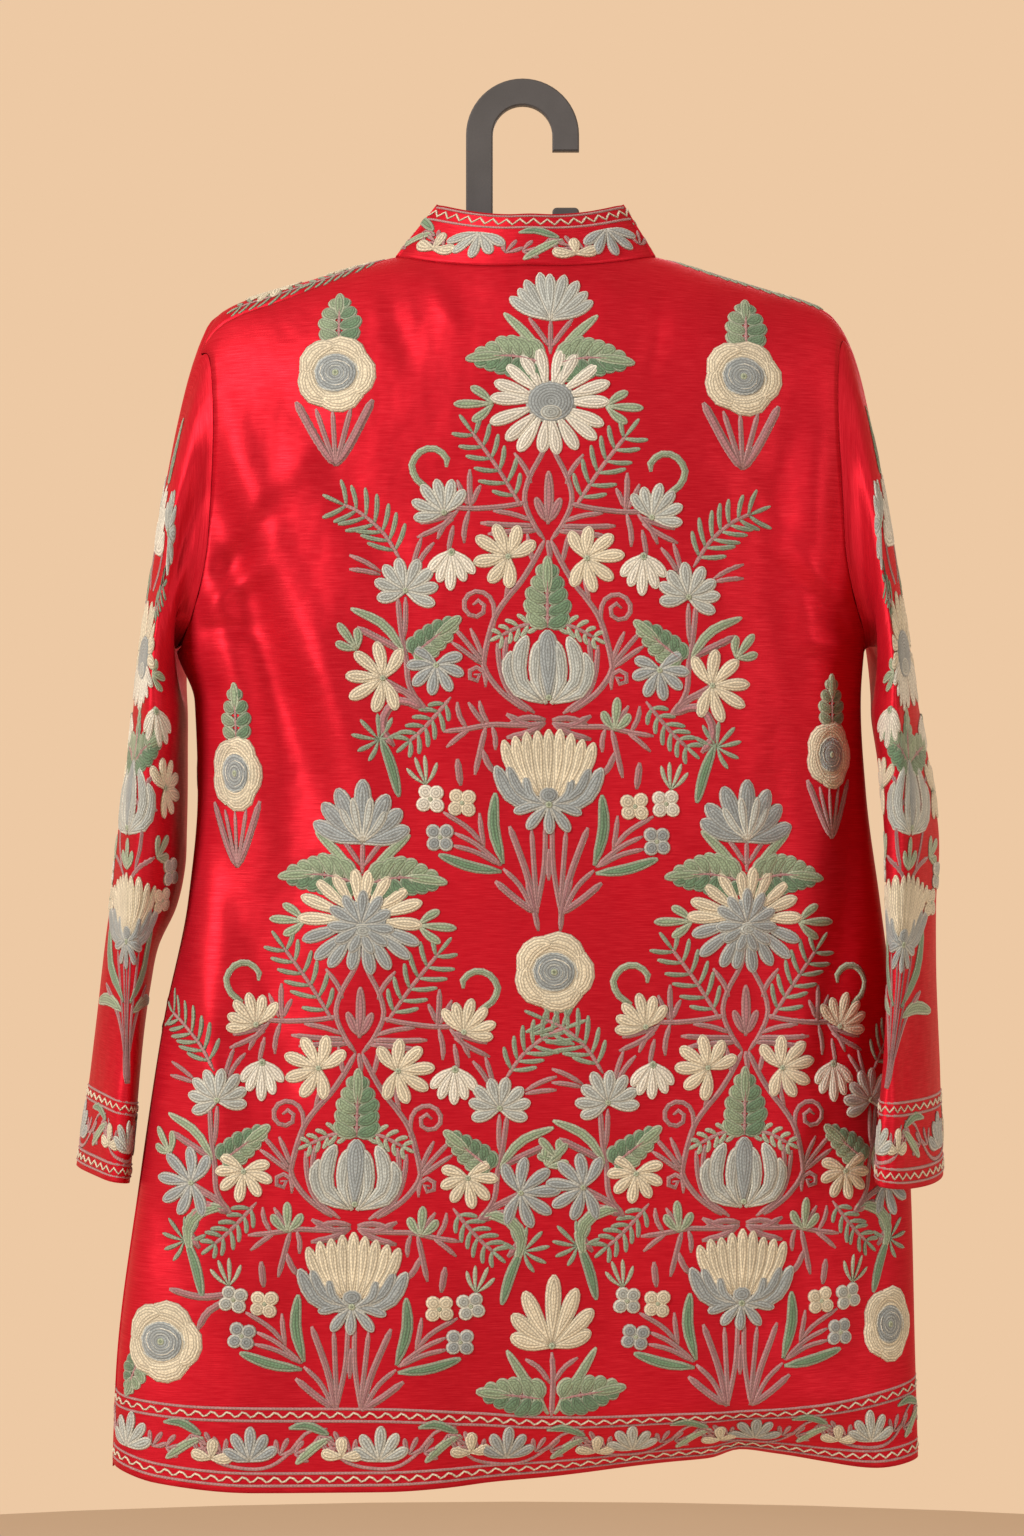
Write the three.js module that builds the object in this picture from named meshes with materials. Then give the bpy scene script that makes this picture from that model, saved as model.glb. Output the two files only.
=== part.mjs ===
// Embroidered stand-collar jacket, hanging on a plastic coat hanger.
// Millimetres. +X is the wearer's right, +Y the wearer's front and +Z up, so the back of the jacket faces -Y.
// The origin is the inside top of the hanger's hook, the point that rests on whatever the hanger hangs from.
//
// The cloth is a shell round the hanger: horizontal sections up to the underarms, and above them a rounded
// fall from the shoulder ridge. Back, fronts, sleeves and collar are cut from that shell as separate walls,
// SEAM_GAP apart where they are sewn. A wall's outer points come first, and the inner ones lie CLOTH inside.
import * as THREE from "three";

// ---------------------------------------------------------------- driving dimensions
const CLOTH = 2; // silk, its backing and the turned embroidery threads
const SEAM_GAP = 0.3;
const NECK_CENTRE = 2; // the yoke hangs a little to the right of the hook
const NECK_HALF = 85;
const SHOULDER_HALF = 211;
const UNDERARM = -356;
const SHOULDER_FALL = 150; // height over which the cloth rolls from the ridge to the full depth of the body
const SHOULDER_ROUND = 2.2; // exponent of that roll
const HEM_BAND = 55; // the embroidered band that curls under along the right of the back hem
const HEM_CURL_SOFTNESS = 15;
const HEM_LEVEL = -892; // height at which the lowest row of the body is divided
const FRONT_GAP_NECK = 3;
const FRONT_GAP_HEM = 9;
const FOLD_FADE = 0.7; // share of the full depth below which folds die out, towards the side seams
const FOLD_ENDS = 0.8; // exponent of a fold's rise from its ends
const COLLAR_HEIGHT = 34;
const COLLAR_TOP_SHARE = 0.72; // width of the collar's top edge over its seam
const COLLAR_TOP_DEPTH_SHARE = 0.85;
const COLLAR_TOP_SHIFT = 3;
const COLLAR_AIM = 120; // the collar leaves its seam towards the axis of the neck and this far up
const COLLAR_TURNED = 0.5; // and keeps this share of the run of the yoke's own cloth
const SLEEVE_LEAVES_SHOULDER = 60; // how strongly the sleeve head stands out before it falls
const SLEEVE_LEAVES_UNDERARM = 64;
const SLEEVE_ARCH = 38; // and how strongly it rises over the underarm seam
const SLEEVE_FALLS = 190; // and how strongly it runs down into the upper arm, at most
const SLEEVE_FALLS_SHARE = 0.8; // of the way down

// how finely the walls are divided
const SHOULDER_COLUMNS = 8;
const NECK_COLUMNS = 14;
const BODY_ROWS = 17;
const ARMHOLE_ROWS = 4;
const ROLL_ROWS = 8;
const SLEEVE_HEAD_RINGS = 6;
const SLEEVE_ARM_RINGS = 12;
const SLEEVE_RINGS_CROWD = 1.4; // above 1 they crowd towards the armhole
const COLLAR_ROWS = 4;
const TOP_SPACING_RATE = 1.7; // how soon above the underarms the columns take up their places at the top
const LENGTH_STEPS = 200; // for measuring round a section
const ROLL_START_ROW = BODY_ROWS + ARMHOLE_ROWS;
const TOP_ROW = ROLL_START_ROW + ROLL_ROWS;
const BACK_COLUMNS = 2 * SHOULDER_COLUMNS + NECK_COLUMNS;

// Horizontal sections, from the hem up: side seams, depth of back and front from the hanger's plane, how
// square each side is, and how far the cloth has turned round on the hanger, in degrees.
const BODY = [
  { z: -895, left: -267, right: 264, back: 66, front: 62, squareLeft: 3.2, squareRight: 2.3, turn: 7 },
  { z: -830, left: -264.5, right: 262, back: 68, front: 64, squareLeft: 3.2, squareRight: 2.3, turn: 7 },
  { z: -705, left: -249.5, right: 258, back: 72, front: 67, squareLeft: 3.0, squareRight: 2.3, turn: 6.5 },
  { z: -600, left: -234, right: 247, back: 74, front: 70, squareLeft: 2.8, squareRight: 2.4, turn: 6 },
  { z: -520, left: -218, right: 236, back: 75, front: 72, squareLeft: 2.7, squareRight: 2.4, turn: 5 },
  { z: -450, left: -212, right: 226, back: 75, front: 73, squareLeft: 2.6, squareRight: 2.5, turn: 4 },
  { z: -390, left: -214, right: 222, back: 74, front: 72, squareLeft: 2.6, squareRight: 2.6, turn: 3 },
  { z: -356, left: -226, right: 224, back: 73, front: 71, squareLeft: 2.6, squareRight: 2.6, turn: 2 },
  { z: -300, left: -230, right: 234, back: 72, front: 69, squareLeft: 2.6, squareRight: 2.6, turn: 1 },
  { z: -100, left: -230, right: 234, back: 70, front: 66, squareLeft: 2.6, squareRight: 2.6, turn: 0 },
];

// Height of the shoulder ridge by distance from the yoke's centre. Inside the neck it is only a guide.
const RIDGE = [
  { out: 0, left: -81.5, right: -81.5 },
  { out: 20, left: -83, right: -83 },
  { out: 40, left: -88, right: -88 },
  { out: 60, left: -94, right: -94 },
  { out: 85, left: -99.5, right: -99.5 },
  { out: 130, left: -111.5, right: -113 },
  { out: 160, left: -120.5, right: -122 },
  { out: 184, left: -128, right: -129 },
  { out: 198, left: -135, right: -136 },
  { out: 206, left: -143, right: -145 },
  { out: 211, left: -152, right: -155 },
];

// The shoulder seam lies behind the ridge, lower on the left where the yoke has slipped back.
const SHOULDER_SEAM = [
  { out: 85, left: 1, right: 1 },
  { out: 120, left: 7, right: 2 },
  { out: 160, left: 11, right: 3 },
  { out: 211, left: 12, right: 3 },
];

// Neck seam: its height by distance from the centre, at the back and at the front.
const NECK_SEAM = [
  { out: 0, back: -110.6, front: -168 },
  { out: 20, back: -111, front: -165.5 },
  { out: 40, back: -109.6, front: -156 },
  { out: 60, back: -106.5, front: -139 },
  { out: 75, back: -103, front: -119 },
  { out: 85, back: -100.5, front: -100.5 },
];

// Armholes: distance from the centre by share of the way from the underarm to the shoulder point.
const ARMHOLE = [
  { way: 0, back: 224, front: 224 },
  { way: 0.14, back: 215, front: 212 },
  { way: 0.34, back: 205, front: 199 },
  { way: 0.6, back: 201, front: 193 },
  { way: 0.85, back: 204, front: 200 },
  { way: 1, back: 211, front: 211 },
];

// Back hem: height of the cut edge, and how far the band below HEM_BAND curls under, in degrees.
const BACK_HEM = [
  { x: -268, z: -880, curl: 0 },
  { x: -240, z: -887, curl: 0 },
  { x: -180, z: -892, curl: 0 },
  { x: -100, z: -892, curl: 0 },
  { x: -60, z: -892, curl: 8 },
  { x: -30, z: -893, curl: 20 },
  { x: 10, z: -895, curl: 30 },
  { x: 47, z: -896, curl: 38 },
  { x: 84, z: -896, curl: 43 },
  { x: 115, z: -896, curl: 46 },
  { x: 135, z: -895, curl: 52 },
  { x: 159, z: -896, curl: 48 },
  { x: 197, z: -897, curl: 36 },
  { x: 229, z: -895, curl: 18 },
  { x: 262, z: -889, curl: 0 },
];
const FRONT_HEM = [
  { x: -268, z: -884 },
  { x: -200, z: -889 },
  { x: 0, z: -892 },
  { x: 200, z: -891 },
  { x: 262, z: -887 },
];

// Long soft folds of body and sleeves: place across the panel at the fold's top and bottom, its half width,
// the heights it runs between and how far it stands out of the cloth (a trough is negative).
const BACK_FOLDS = [
  { top: -165, bottom: -150, wide: 26, from: -250, to: -640, out: -7 },
  { top: -190, bottom: -222, wide: 20, from: -380, to: -880, out: 5 },
  { top: -140, bottom: -105, wide: 22, from: -200, to: -520, out: 4 },
  { top: 160, bottom: 178, wide: 20, from: -230, to: -600, out: -5 },
  { top: 130, bottom: 140, wide: 16, from: -260, to: -560, out: 3 },
  { top: 188, bottom: 215, wide: 16, from: -300, to: -760, out: 4 },
  { top: -60, bottom: -80, wide: 40, from: -640, to: -930, out: 4 },
  { top: 60, bottom: 90, wide: 45, from: -700, to: -930, out: -4 },
];
const FRONT_FOLDS = [
  { top: -150, bottom: -175, wide: 26, from: -300, to: -880, out: -7 },
  { top: -105, bottom: -115, wide: 24, from: -260, to: -900, out: 6 },
  { top: -40, bottom: -55, wide: 20, from: -420, to: -930, out: -4 },
  { top: 45, bottom: 50, wide: 22, from: -400, to: -930, out: -5 },
  { top: 110, bottom: 125, wide: 24, from: -260, to: -900, out: 6 },
  { top: 155, bottom: 185, wide: 26, from: -300, to: -860, out: -7 },
];

// Sleeve sections below the sleeve head, from the upper arm to the cuff: centre, half width, half depth, the
// turn of the flattened tube in degrees, and how much higher its outer side hangs than its inner side.
const SLEEVES = {
  left: [
    { z: -390, x: -237, y: 2, wide: 16.5, deep: 72, turn: 0, slant: 14 },
    { z: -454, x: -240.5, y: 3, wide: 20, deep: 68, turn: 0, slant: 12 },
    { z: -506, x: -245, y: 4, wide: 22, deep: 65, turn: 2, slant: 12 },
    { z: -545, x: -256, y: 6, wide: 17, deep: 62, turn: 6, slant: 11 },
    { z: -600, x: -264, y: 7, wide: 15, deep: 60, turn: 10, slant: 11 },
    { z: -650, x: -269.5, y: 8, wide: 14.5, deep: 58, turn: 14, slant: 9 },
    { z: -700, x: -276, y: 9, wide: 14, deep: 57, turn: 18, slant: 6 },
  ],
  right: [
    { z: -395, x: 243, y: -4, wide: 15, deep: 72, turn: -5, slant: 12 },
    { z: -450, x: 250, y: -10, wide: 15, deep: 68, turn: -10, slant: 10 },
    { z: -500, x: 253, y: -16, wide: 14, deep: 65, turn: -14, slant: 8 },
    { z: -560, x: 252.5, y: -22, wide: 13.5, deep: 62, turn: -15, slant: 6 },
    { z: -610, x: 252, y: -26, wide: 13.5, deep: 60, turn: -18, slant: 2 },
    { z: -660, x: 250.5, y: -29, wide: 14, deep: 58, turn: -22, slant: -3 },
    { z: -698, x: 250, y: -31, wide: 14.5, deep: 58, turn: -24, slant: -8 },
  ],
};
const SLEEVE_SQUARE = 1.9; // exponent of the flattened tube

// Hanger: a flat moulded hook on a broad-ended arm.
const HOOK_INNER = 19.5;
const HOOK_OUTER = 37;
const HOOK_THICK = 8;
const HOOK_CORNER = 3;
const HOOK_BEVEL = 1;
const BEND_SEGMENTS = 14;
const HOOK_TIP_DROP = 10.5; // the hook's free end below the middle of its bend
const POST_TOP = -67;
const HOOK_FOOT_TOP = -84;
const HOOK_FOOT = -97;
const ARM_CLEARANCE = 1.2; // between the arm and the cloth that rests on it
const ARM_HEIGHT = 17;
const ARM_TIP = 190; // beyond this distance from the centre the arm is only ARM_TIP_SHARE as high
const ARM_TIP_SHARE = 0.6;
const ARM_ROUND = 0.8; // exponent of its section, below 1 for flatter top and bottom
const ARM_PLACES = [0, 20, 42, 60, 85, 108, 130, 150, 170, 186, 193];
const ARM = [
  { out: 0, deep: 8, drop: 16 },
  { out: 42, deep: 8, drop: 12 },
  { out: 85, deep: 8, drop: 2 },
  { out: 130, deep: 11, drop: 0 },
  { out: 170, deep: 14, drop: 0.5 },
  { out: 186, deep: 12, drop: 2 },
  { out: 193, deep: 8, drop: 7 },
];
const ARM_SIDES = 12;

const SILK = new THREE.MeshStandardMaterial({ color: "#c5262f", roughness: 0.42, metalness: 0 });
const PLASTIC = new THREE.MeshStandardMaterial({ color: "#54504d", roughness: 0.5, metalness: 0 });

// ---------------------------------------------------------------- small helpers
const radians = (degrees) => (degrees * Math.PI) / 180;
const mix = (a, b, t) => a + (b - a) * t;
const smooth = (t) => {
  const s = Math.min(1, Math.max(0, t));
  return s * s * (3 - 2 * s);
};
const steps = (count) => Array.from({ length: count + 1 }, (_, i) => i / count);
const signedPower = (value, power) => Math.sign(value) * Math.abs(value) ** power;

// One column of a table, read between its rows on a curve that never overshoots them.
function read(rows, key, column, at) {
  const up = rows[0][key] < rows[rows.length - 1][key] ? rows : [...rows].reverse();
  if (at <= up[0][key]) return up[0][column];
  if (at >= up[up.length - 1][key]) return up[up.length - 1][column];
  const i = up.findIndex((row) => row[key] > at) - 1;
  const rise = (j) => (up[j + 1][column] - up[j][column]) / (up[j + 1][key] - up[j][key]);
  const slope = (j) => {
    if (j === 0) return rise(0);
    if (j === up.length - 1) return rise(j - 1);
    const [before, after] = [rise(j - 1), rise(j)];
    return before * after <= 0 ? 0 : (2 * before * after) / (before + after);
  };
  const span = up[i + 1][key] - up[i][key];
  const t = (at - up[i][key]) / span;
  const [t2, t3] = [t * t, t * t * t];
  return (
    up[i][column] * (2 * t3 - 3 * t2 + 1) +
    slope(i) * span * (t3 - 2 * t2 + t) +
    up[i + 1][column] * (3 * t2 - 2 * t3) +
    slope(i + 1) * span * (t3 - t2)
  );
}

// ---------------------------------------------------------------- the shell that the panels are cut from
const FACES = { back: { sign: -1, folds: BACK_FOLDS }, front: { sign: 1, folds: FRONT_FOLDS } };

function section(z) {
  const of = (column) => read(BODY, "z", column, z);
  const [left, right] = [of("left"), of("right")];
  return { left, right, middle: (left + right) / 2, of };
}

// Share of the body's full depth that a section has at x: 1 in the middle and 0 at the side seams.
function roundness(s, x) {
  const half = (s.right - s.left) / 2;
  const square = s.of(x < s.middle ? "squareLeft" : "squareRight");
  const across = Math.min(1, Math.abs(x - s.middle) / half);
  return (1 - across ** square) ** (1 / square);
}

function foldHeight(folds, x, z) {
  let out = 0;
  for (const fold of folds) {
    const along = (z - fold.from) / (fold.to - fold.from);
    if (along <= 0 || along >= 1) continue;
    const away = (x - mix(fold.top, fold.bottom, along)) / fold.wide;
    out += fold.out * Math.sin(Math.PI * along) ** FOLD_ENDS * Math.exp(-away * away);
  }
  return out;
}

// A point of the shell. lean is -1 on the back, 1 on the front, and between them over the shoulder ridge.
function shellPoint(face, x, z, lean) {
  const s = section(z);
  const round = roundness(s, x);
  const depth = lean < 0 ? s.of("back") : s.of("front");
  const fold = foldHeight(face.folds, x, z) * smooth(round / FOLD_FADE) * face.sign;
  const y = lean * depth * round + fold;
  const turn = radians(s.of("turn"));
  return new THREE.Vector3(
    x * Math.cos(turn) - y * Math.sin(turn),
    x * Math.sin(turn) + y * Math.cos(turn),
    z,
  );
}

// The back hem's band is bent under: what lies below HEM_BAND swings forwards and up.
function curlHem(point, above, x) {
  const below = Math.max(0, HEM_BAND - above);
  const bent = (below * below) / (below + HEM_CURL_SOFTNESS);
  const angle = radians(read(BACK_HEM, "x", "curl", x));
  point.y += bent * Math.sin(angle);
  point.z += bent * (1 - Math.cos(angle));
}

// ---------------------------------------------------------------- the grid of a body panel
// Lateral places across one row of the body, dividing the length round the section evenly.
function evenPlaces(z, from, to, count) {
  const s = section(z);
  const fine = steps(LENGTH_STEPS).map((t) => {
    const x = s.middle - ((s.right - s.left) / 2) * Math.cos(mix(from, to, t) * Math.PI);
    return { x, y: roundness(s, x) * s.of("back") };
  });
  const lengths = [0];
  for (let i = 1; i < fine.length; i++)
    lengths.push(lengths[i - 1] + Math.hypot(fine[i].x - fine[i - 1].x, fine[i].y - fine[i - 1].y));
  return steps(count).map((t) => {
    const wanted = t * lengths[lengths.length - 1];
    const i = Math.min(lengths.length - 2, Math.max(0, lengths.findIndex((l) => l > wanted) - 1));
    const share = (wanted - lengths[i]) / (lengths[i + 1] - lengths[i]);
    return t === 1 ? fine[fine.length - 1].x : mix(fine[i].x, fine[i + 1].x, share);
  });
}

const sideOf = (x) => (x < NECK_CENTRE ? "left" : "right");
const ridgeHeight = (x) => read(RIDGE, "out", sideOf(x), Math.abs(x - NECK_CENTRE));

// Where a column of a panel ends at the top: the angle over the ridge, which is 90 degrees at full depth.
function topAngle(faceName, x) {
  const out = Math.abs(x - NECK_CENTRE);
  const onNeck = out < NECK_HALF - 0.01;
  const seam = onNeck
    ? ridgeHeight(x) - read(NECK_SEAM, "out", faceName, out)
    : read(SHOULDER_SEAM, "out", sideOf(x), out);
  const angle = Math.acos((1 - seam / SHOULDER_FALL) ** (SHOULDER_ROUND / 2));
  return faceName === "front" && !onNeck ? -angle : angle;
}

// side -1 is the left front, 1 the right front and 0 the whole back.
function panelGrid(faceName, side) {
  const face = FACES[faceName];
  const columns = side ? SHOULDER_COLUMNS + NECK_COLUMNS / 2 : BACK_COLUMNS;
  const neck = steps(NECK_COLUMNS / 2)
    .slice(1)
    .map((t) => mix(side ? FRONT_GAP_NECK / 2 : 0, NECK_HALF, Math.cos((t * Math.PI) / 2)));
  // Places across a row near the top, where the columns on the neck stay put and the rest reach the armhole.
  const topPlaces = (armhole) => {
    const halfOut = [...steps(SHOULDER_COLUMNS).map((t) => mix(armhole, NECK_HALF, t)), ...neck];
    const leftHalf = halfOut.map((out) => NECK_CENTRE - out);
    const rightHalf = halfOut.map((out) => NECK_CENTRE + out);
    if (side) return side < 0 ? leftHalf : rightHalf;
    return [...leftHalf, ...rightHalf.slice(0, -1).reverse()];
  };
  const tops = topPlaces(SHOULDER_HALF);
  const grid = [];
  for (let row = 0; row <= TOP_ROW; row++) {
    const way = Math.max(0, row - BODY_ROWS) / (TOP_ROW - BODY_ROWS);
    const level = mix(HEM_LEVEL, UNDERARM, Math.min(1, row / BODY_ROWS));
    const s = section(level);
    const openEdge = NECK_CENTRE + (side * mix(FRONT_GAP_HEM, FRONT_GAP_NECK, row / TOP_ROW)) / 2;
    const out = read(ARMHOLE, "way", faceName, way);
    const leftEdge = way > 0 ? NECK_CENTRE - out : s.left;
    const rightEdge = way > 0 ? NECK_CENTRE + out : s.right;
    const ends = { "-1": [0, 0.5], 1: [1, 0.5], 0: [0, 1] }[side];
    const spread = evenPlaces(level, ends[0], ends[1], columns);
    const firstEdge = side === 1 ? rightEdge : leftEdge;
    const lastEdge = side ? openEdge : rightEdge;
    const upper = topPlaces(out);
    const line = [];
    for (let column = 0; column <= columns; column++) {
      // Even spacing round the body below the underarm, changing to the top's own spacing above it.
      const share = (spread[column] - spread[0]) / (spread[columns] - spread[0]);
      const x = mix(mix(firstEdge, lastEdge, share), upper[column], smooth(way * TOP_SPACING_RATE));
      const endAngle = topAngle(faceName, tops[column]);
      const point = panelPoint(faceName, face, x, row, endAngle);
      if (row > ROLL_START_ROW) point.normal = rollNormal(face, x, rollAngle(row, endAngle));
      line.push(point);
    }
    grid.push(line);
  }
  return grid;
}

function panelPoint(faceName, face, x, row, endAngle) {
  const hem = read(faceName === "back" ? BACK_HEM : FRONT_HEM, "x", "z", x);
  if (row <= BODY_ROWS) {
    const z = mix(hem, UNDERARM, row / BODY_ROWS);
    const point = shellPoint(face, x, z, face.sign);
    if (faceName === "back") curlHem(point, z - hem, x);
    return point;
  }
  if (row <= ROLL_START_ROW) {
    const rollStart = ridgeHeight(x) - SHOULDER_FALL;
    return shellPoint(face, x, mix(UNDERARM, rollStart, (row - BODY_ROWS) / ARMHOLE_ROWS), face.sign);
  }
  return rollPoint(face, x, rollAngle(row, endAngle));
}

// The outward normal there, from four points close round it.
function rollNormal(face, x, angle) {
  const across = 1;
  const round = 0.01;
  const sideways = rollPoint(face, x + across, angle).sub(rollPoint(face, x - across, angle));
  const upwards = rollPoint(face, x, angle - round).sub(rollPoint(face, x, angle + round));
  return sideways.cross(upwards).normalize().multiplyScalar(-face.sign);
}

const rollAngle = (row, endAngle) => mix(Math.PI / 2, endAngle, (row - ROLL_START_ROW) / ROLL_ROWS);

// A point of the shell on its way over the shoulder, the angle being 0 at the ridge.
function rollPoint(face, x, angle) {
  const lean = signedPower(Math.sin(angle), 2 / SHOULDER_ROUND) * face.sign;
  const rise = Math.cos(angle) ** (2 / SHOULDER_ROUND) - 1;
  return shellPoint(face, x, ridgeHeight(x) + SHOULDER_FALL * rise, lean);
}

// ---------------------------------------------------------------- walls
// Outward normals of a grid of points, kept where a point has its own. wrap is true on a tube.
function gridNormals(grid, outside, wrap) {
  const rows = grid.length - 1;
  const columns = grid[0].length - 1;
  return grid.map((line, r) =>
    line.map((point, c) => {
      if (point.normal) return point.normal;
      const around = (k) => (wrap ? (k + columns + 1) % (columns + 1) : Math.min(columns, Math.max(0, k)));
      const along = new THREE.Vector3().subVectors(line[around(c + 1)], line[around(c - 1)]);
      const up = new THREE.Vector3().subVectors(grid[Math.min(rows, r + 1)][c], grid[Math.max(0, r - 1)][c]);
      return along.cross(up).normalize().multiplyScalar(outside);
    }),
  );
}

// Two panels that are sewn together share the normal along their seam, so that their cut faces stay parallel.
function shareNormals(pairs) {
  for (const [a, b] of pairs) {
    const shared = a.clone().add(b).normalize();
    a.copy(shared);
    b.copy(shared);
  }
}

const inner = (grid, normals) =>
  grid.map((line, r) => line.map((point, c) => point.clone().addScaledVector(normals[r][c], -CLOTH)));

// Draws the edge of a wall back from its seam by half the gap.
function trim(wall, edges) {
  const { outer, inside } = wall;
  const rows = outer.length - 1;
  const columns = outer[0].length - 1;
  const pull = (grid, r, c, r2, c2) => {
    const step = new THREE.Vector3().subVectors(grid[r2][c2], grid[r][c]);
    grid[r][c].addScaledVector(step.normalize(), SEAM_GAP / 2);
  };
  for (const grid of [outer, inside]) {
    for (let r = 0; r <= rows; r++) {
      if (edges.first) pull(grid, r, 0, r, 1);
      if (edges.last) pull(grid, r, columns, r, columns - 1);
    }
    for (let c = 0; c <= columns && edges.top; c++) pull(grid, rows, c, rows - 1, c);
  }
}

// A closed solid between an outer and an inner grid, with a rim round its free edges.
function wallGeometry({ outer, inside, outside, wrap }) {
  const rows = outer.length;
  const columns = outer[0].length;
  const positions = [...outer, ...inside].flat().flatMap((p) => [p.x, p.y, p.z]);
  const id = (layer, r, c) => (layer * rows + r) * columns + (c % columns);
  const faces = [];
  const quad = (a, b, c, d, flip) =>
    flip ? faces.push(a, c, b, a, d, c) : faces.push(a, b, c, a, c, d);
  const flip = outside < 0;
  const lastColumn = wrap ? columns : columns - 1;
  for (let r = 0; r < rows - 1; r++)
    for (let c = 0; c < lastColumn; c++) {
      quad(id(0, r, c), id(0, r, c + 1), id(0, r + 1, c + 1), id(0, r + 1, c), flip);
      quad(id(1, r, c), id(1, r, c + 1), id(1, r + 1, c + 1), id(1, r + 1, c), !flip);
    }
  for (let c = 0; c < lastColumn; c++) {
    quad(id(0, 0, c), id(1, 0, c), id(1, 0, c + 1), id(0, 0, c + 1), flip);
    quad(id(0, rows - 1, c), id(1, rows - 1, c), id(1, rows - 1, c + 1), id(0, rows - 1, c + 1), !flip);
  }
  for (let r = 0; r < rows - 1 && !wrap; r++) {
    quad(id(0, r, 0), id(1, r, 0), id(1, r + 1, 0), id(0, r + 1, 0), !flip);
    const c = columns - 1;
    quad(id(0, r, c), id(1, r, c), id(1, r + 1, c), id(0, r + 1, c), flip);
  }
  const geometry = new THREE.BufferGeometry();
  geometry.setAttribute("position", new THREE.Float32BufferAttribute(positions, 3));
  geometry.setIndex(faces);
  geometry.computeVertexNormals();
  return geometry;
}

// ---------------------------------------------------------------- body panels
const back = { outer: panelGrid("back", 0), outside: 1 };
const frontLeft = { outer: panelGrid("front", -1), outside: -1 };
const frontRight = { outer: panelGrid("front", 1), outside: 1 };
const bodyPanels = [back, frontLeft, frontRight];
for (const panel of bodyPanels) panel.normals = gridNormals(panel.outer, panel.outside, false);

for (let r = 0; r <= BODY_ROWS; r++)
  shareNormals([
    [back.normals[r][0], frontLeft.normals[r][0]],
    [back.normals[r][BACK_COLUMNS], frontRight.normals[r][0]],
  ]);
for (let c = 0; c <= SHOULDER_COLUMNS; c++)
  shareNormals([
    [back.normals[TOP_ROW][c], frontLeft.normals[TOP_ROW][c]],
    [back.normals[TOP_ROW][BACK_COLUMNS - c], frontRight.normals[TOP_ROW][c]],
  ]);
for (const panel of bodyPanels) panel.inside = inner(panel.outer, panel.normals);

// The open loops that sleeves and collar are sewn to, read off the untrimmed panels.
const pointAt = (panel, r, c) => ({ outer: panel.outer[r][c].clone(), normal: panel.normals[r][c].clone() });
function armholeLoop(front, backColumn) {
  const loop = [];
  for (let r = BODY_ROWS; r <= TOP_ROW; r++) loop.push(pointAt(back, r, backColumn));
  for (let r = TOP_ROW - 1; r > BODY_ROWS; r--) loop.push(pointAt(front, r, 0));
  return loop;
}
const neckLoop = [];
for (let c = SHOULDER_COLUMNS + NECK_COLUMNS / 2; c > SHOULDER_COLUMNS; c--)
  neckLoop.push(pointAt(frontLeft, TOP_ROW, c));
for (let c = SHOULDER_COLUMNS; c <= SHOULDER_COLUMNS + NECK_COLUMNS; c++)
  neckLoop.push(pointAt(back, TOP_ROW, c));
for (let c = SHOULDER_COLUMNS + 1; c <= SHOULDER_COLUMNS + NECK_COLUMNS / 2; c++)
  neckLoop.push(pointAt(frontRight, TOP_ROW, c));

const armholes = { left: armholeLoop(frontLeft, 0), right: armholeLoop(frontRight, BACK_COLUMNS) };

// Moves a loop off the panels it is sewn to. aim gives the way the new piece leaves the seam at a point, and
// how far it is turned from the run of the panel's own cloth: 0 follows the panel, 1 follows the aim.
function offSeam(loop, closed, aim) {
  const count = loop.length;
  return loop.map((point, i) => {
    const ahead = closed ? (i + 1) % count : Math.min(count - 1, i + 1);
    const behind = closed ? (i + count - 1) % count : Math.max(0, i - 1);
    const tangent = new THREE.Vector3().subVectors(loop[ahead].outer, loop[behind].outer).normalize();
    const { way, turned } = aim(point.outer, i / count);
    const straight = way.clone().addScaledVector(tangent, -way.dot(tangent)).normalize();
    const run = tangent.clone().cross(point.normal).normalize();
    if (run.dot(way) < 0) run.negate();
    const away = run.lerp(straight, turned).normalize();
    return { outer: point.outer.clone().addScaledVector(away, SEAM_GAP), away };
  });
}

trim(back, { first: true, last: true, top: true });
trim(frontLeft, { first: true, top: true });
trim(frontRight, { first: true, top: true });

// ---------------------------------------------------------------- sleeves
function sleeveRing(rows, z, sideSign, count) {
  const of = (column) => read(rows, "z", column, z);
  const turn = radians(of("turn"));
  return Array.from({ length: count }, (_, i) => {
    // Starts at the inner side, goes round by the back to the outer side and returns by the front.
    const angle = (2 * Math.PI * i) / count;
    const across = -of("wide") * signedPower(Math.cos(angle), 2 / SLEEVE_SQUARE) * sideSign;
    const along = -of("deep") * signedPower(Math.sin(angle), 2 / SLEEVE_SQUARE);
    const lift = (across * sideSign * of("slant")) / (2 * of("wide"));
    return new THREE.Vector3(
      of("x") + across * Math.cos(turn) - along * Math.sin(turn),
      of("y") + across * Math.sin(turn) + along * Math.cos(turn),
      z + lift,
    );
  });
}

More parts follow.
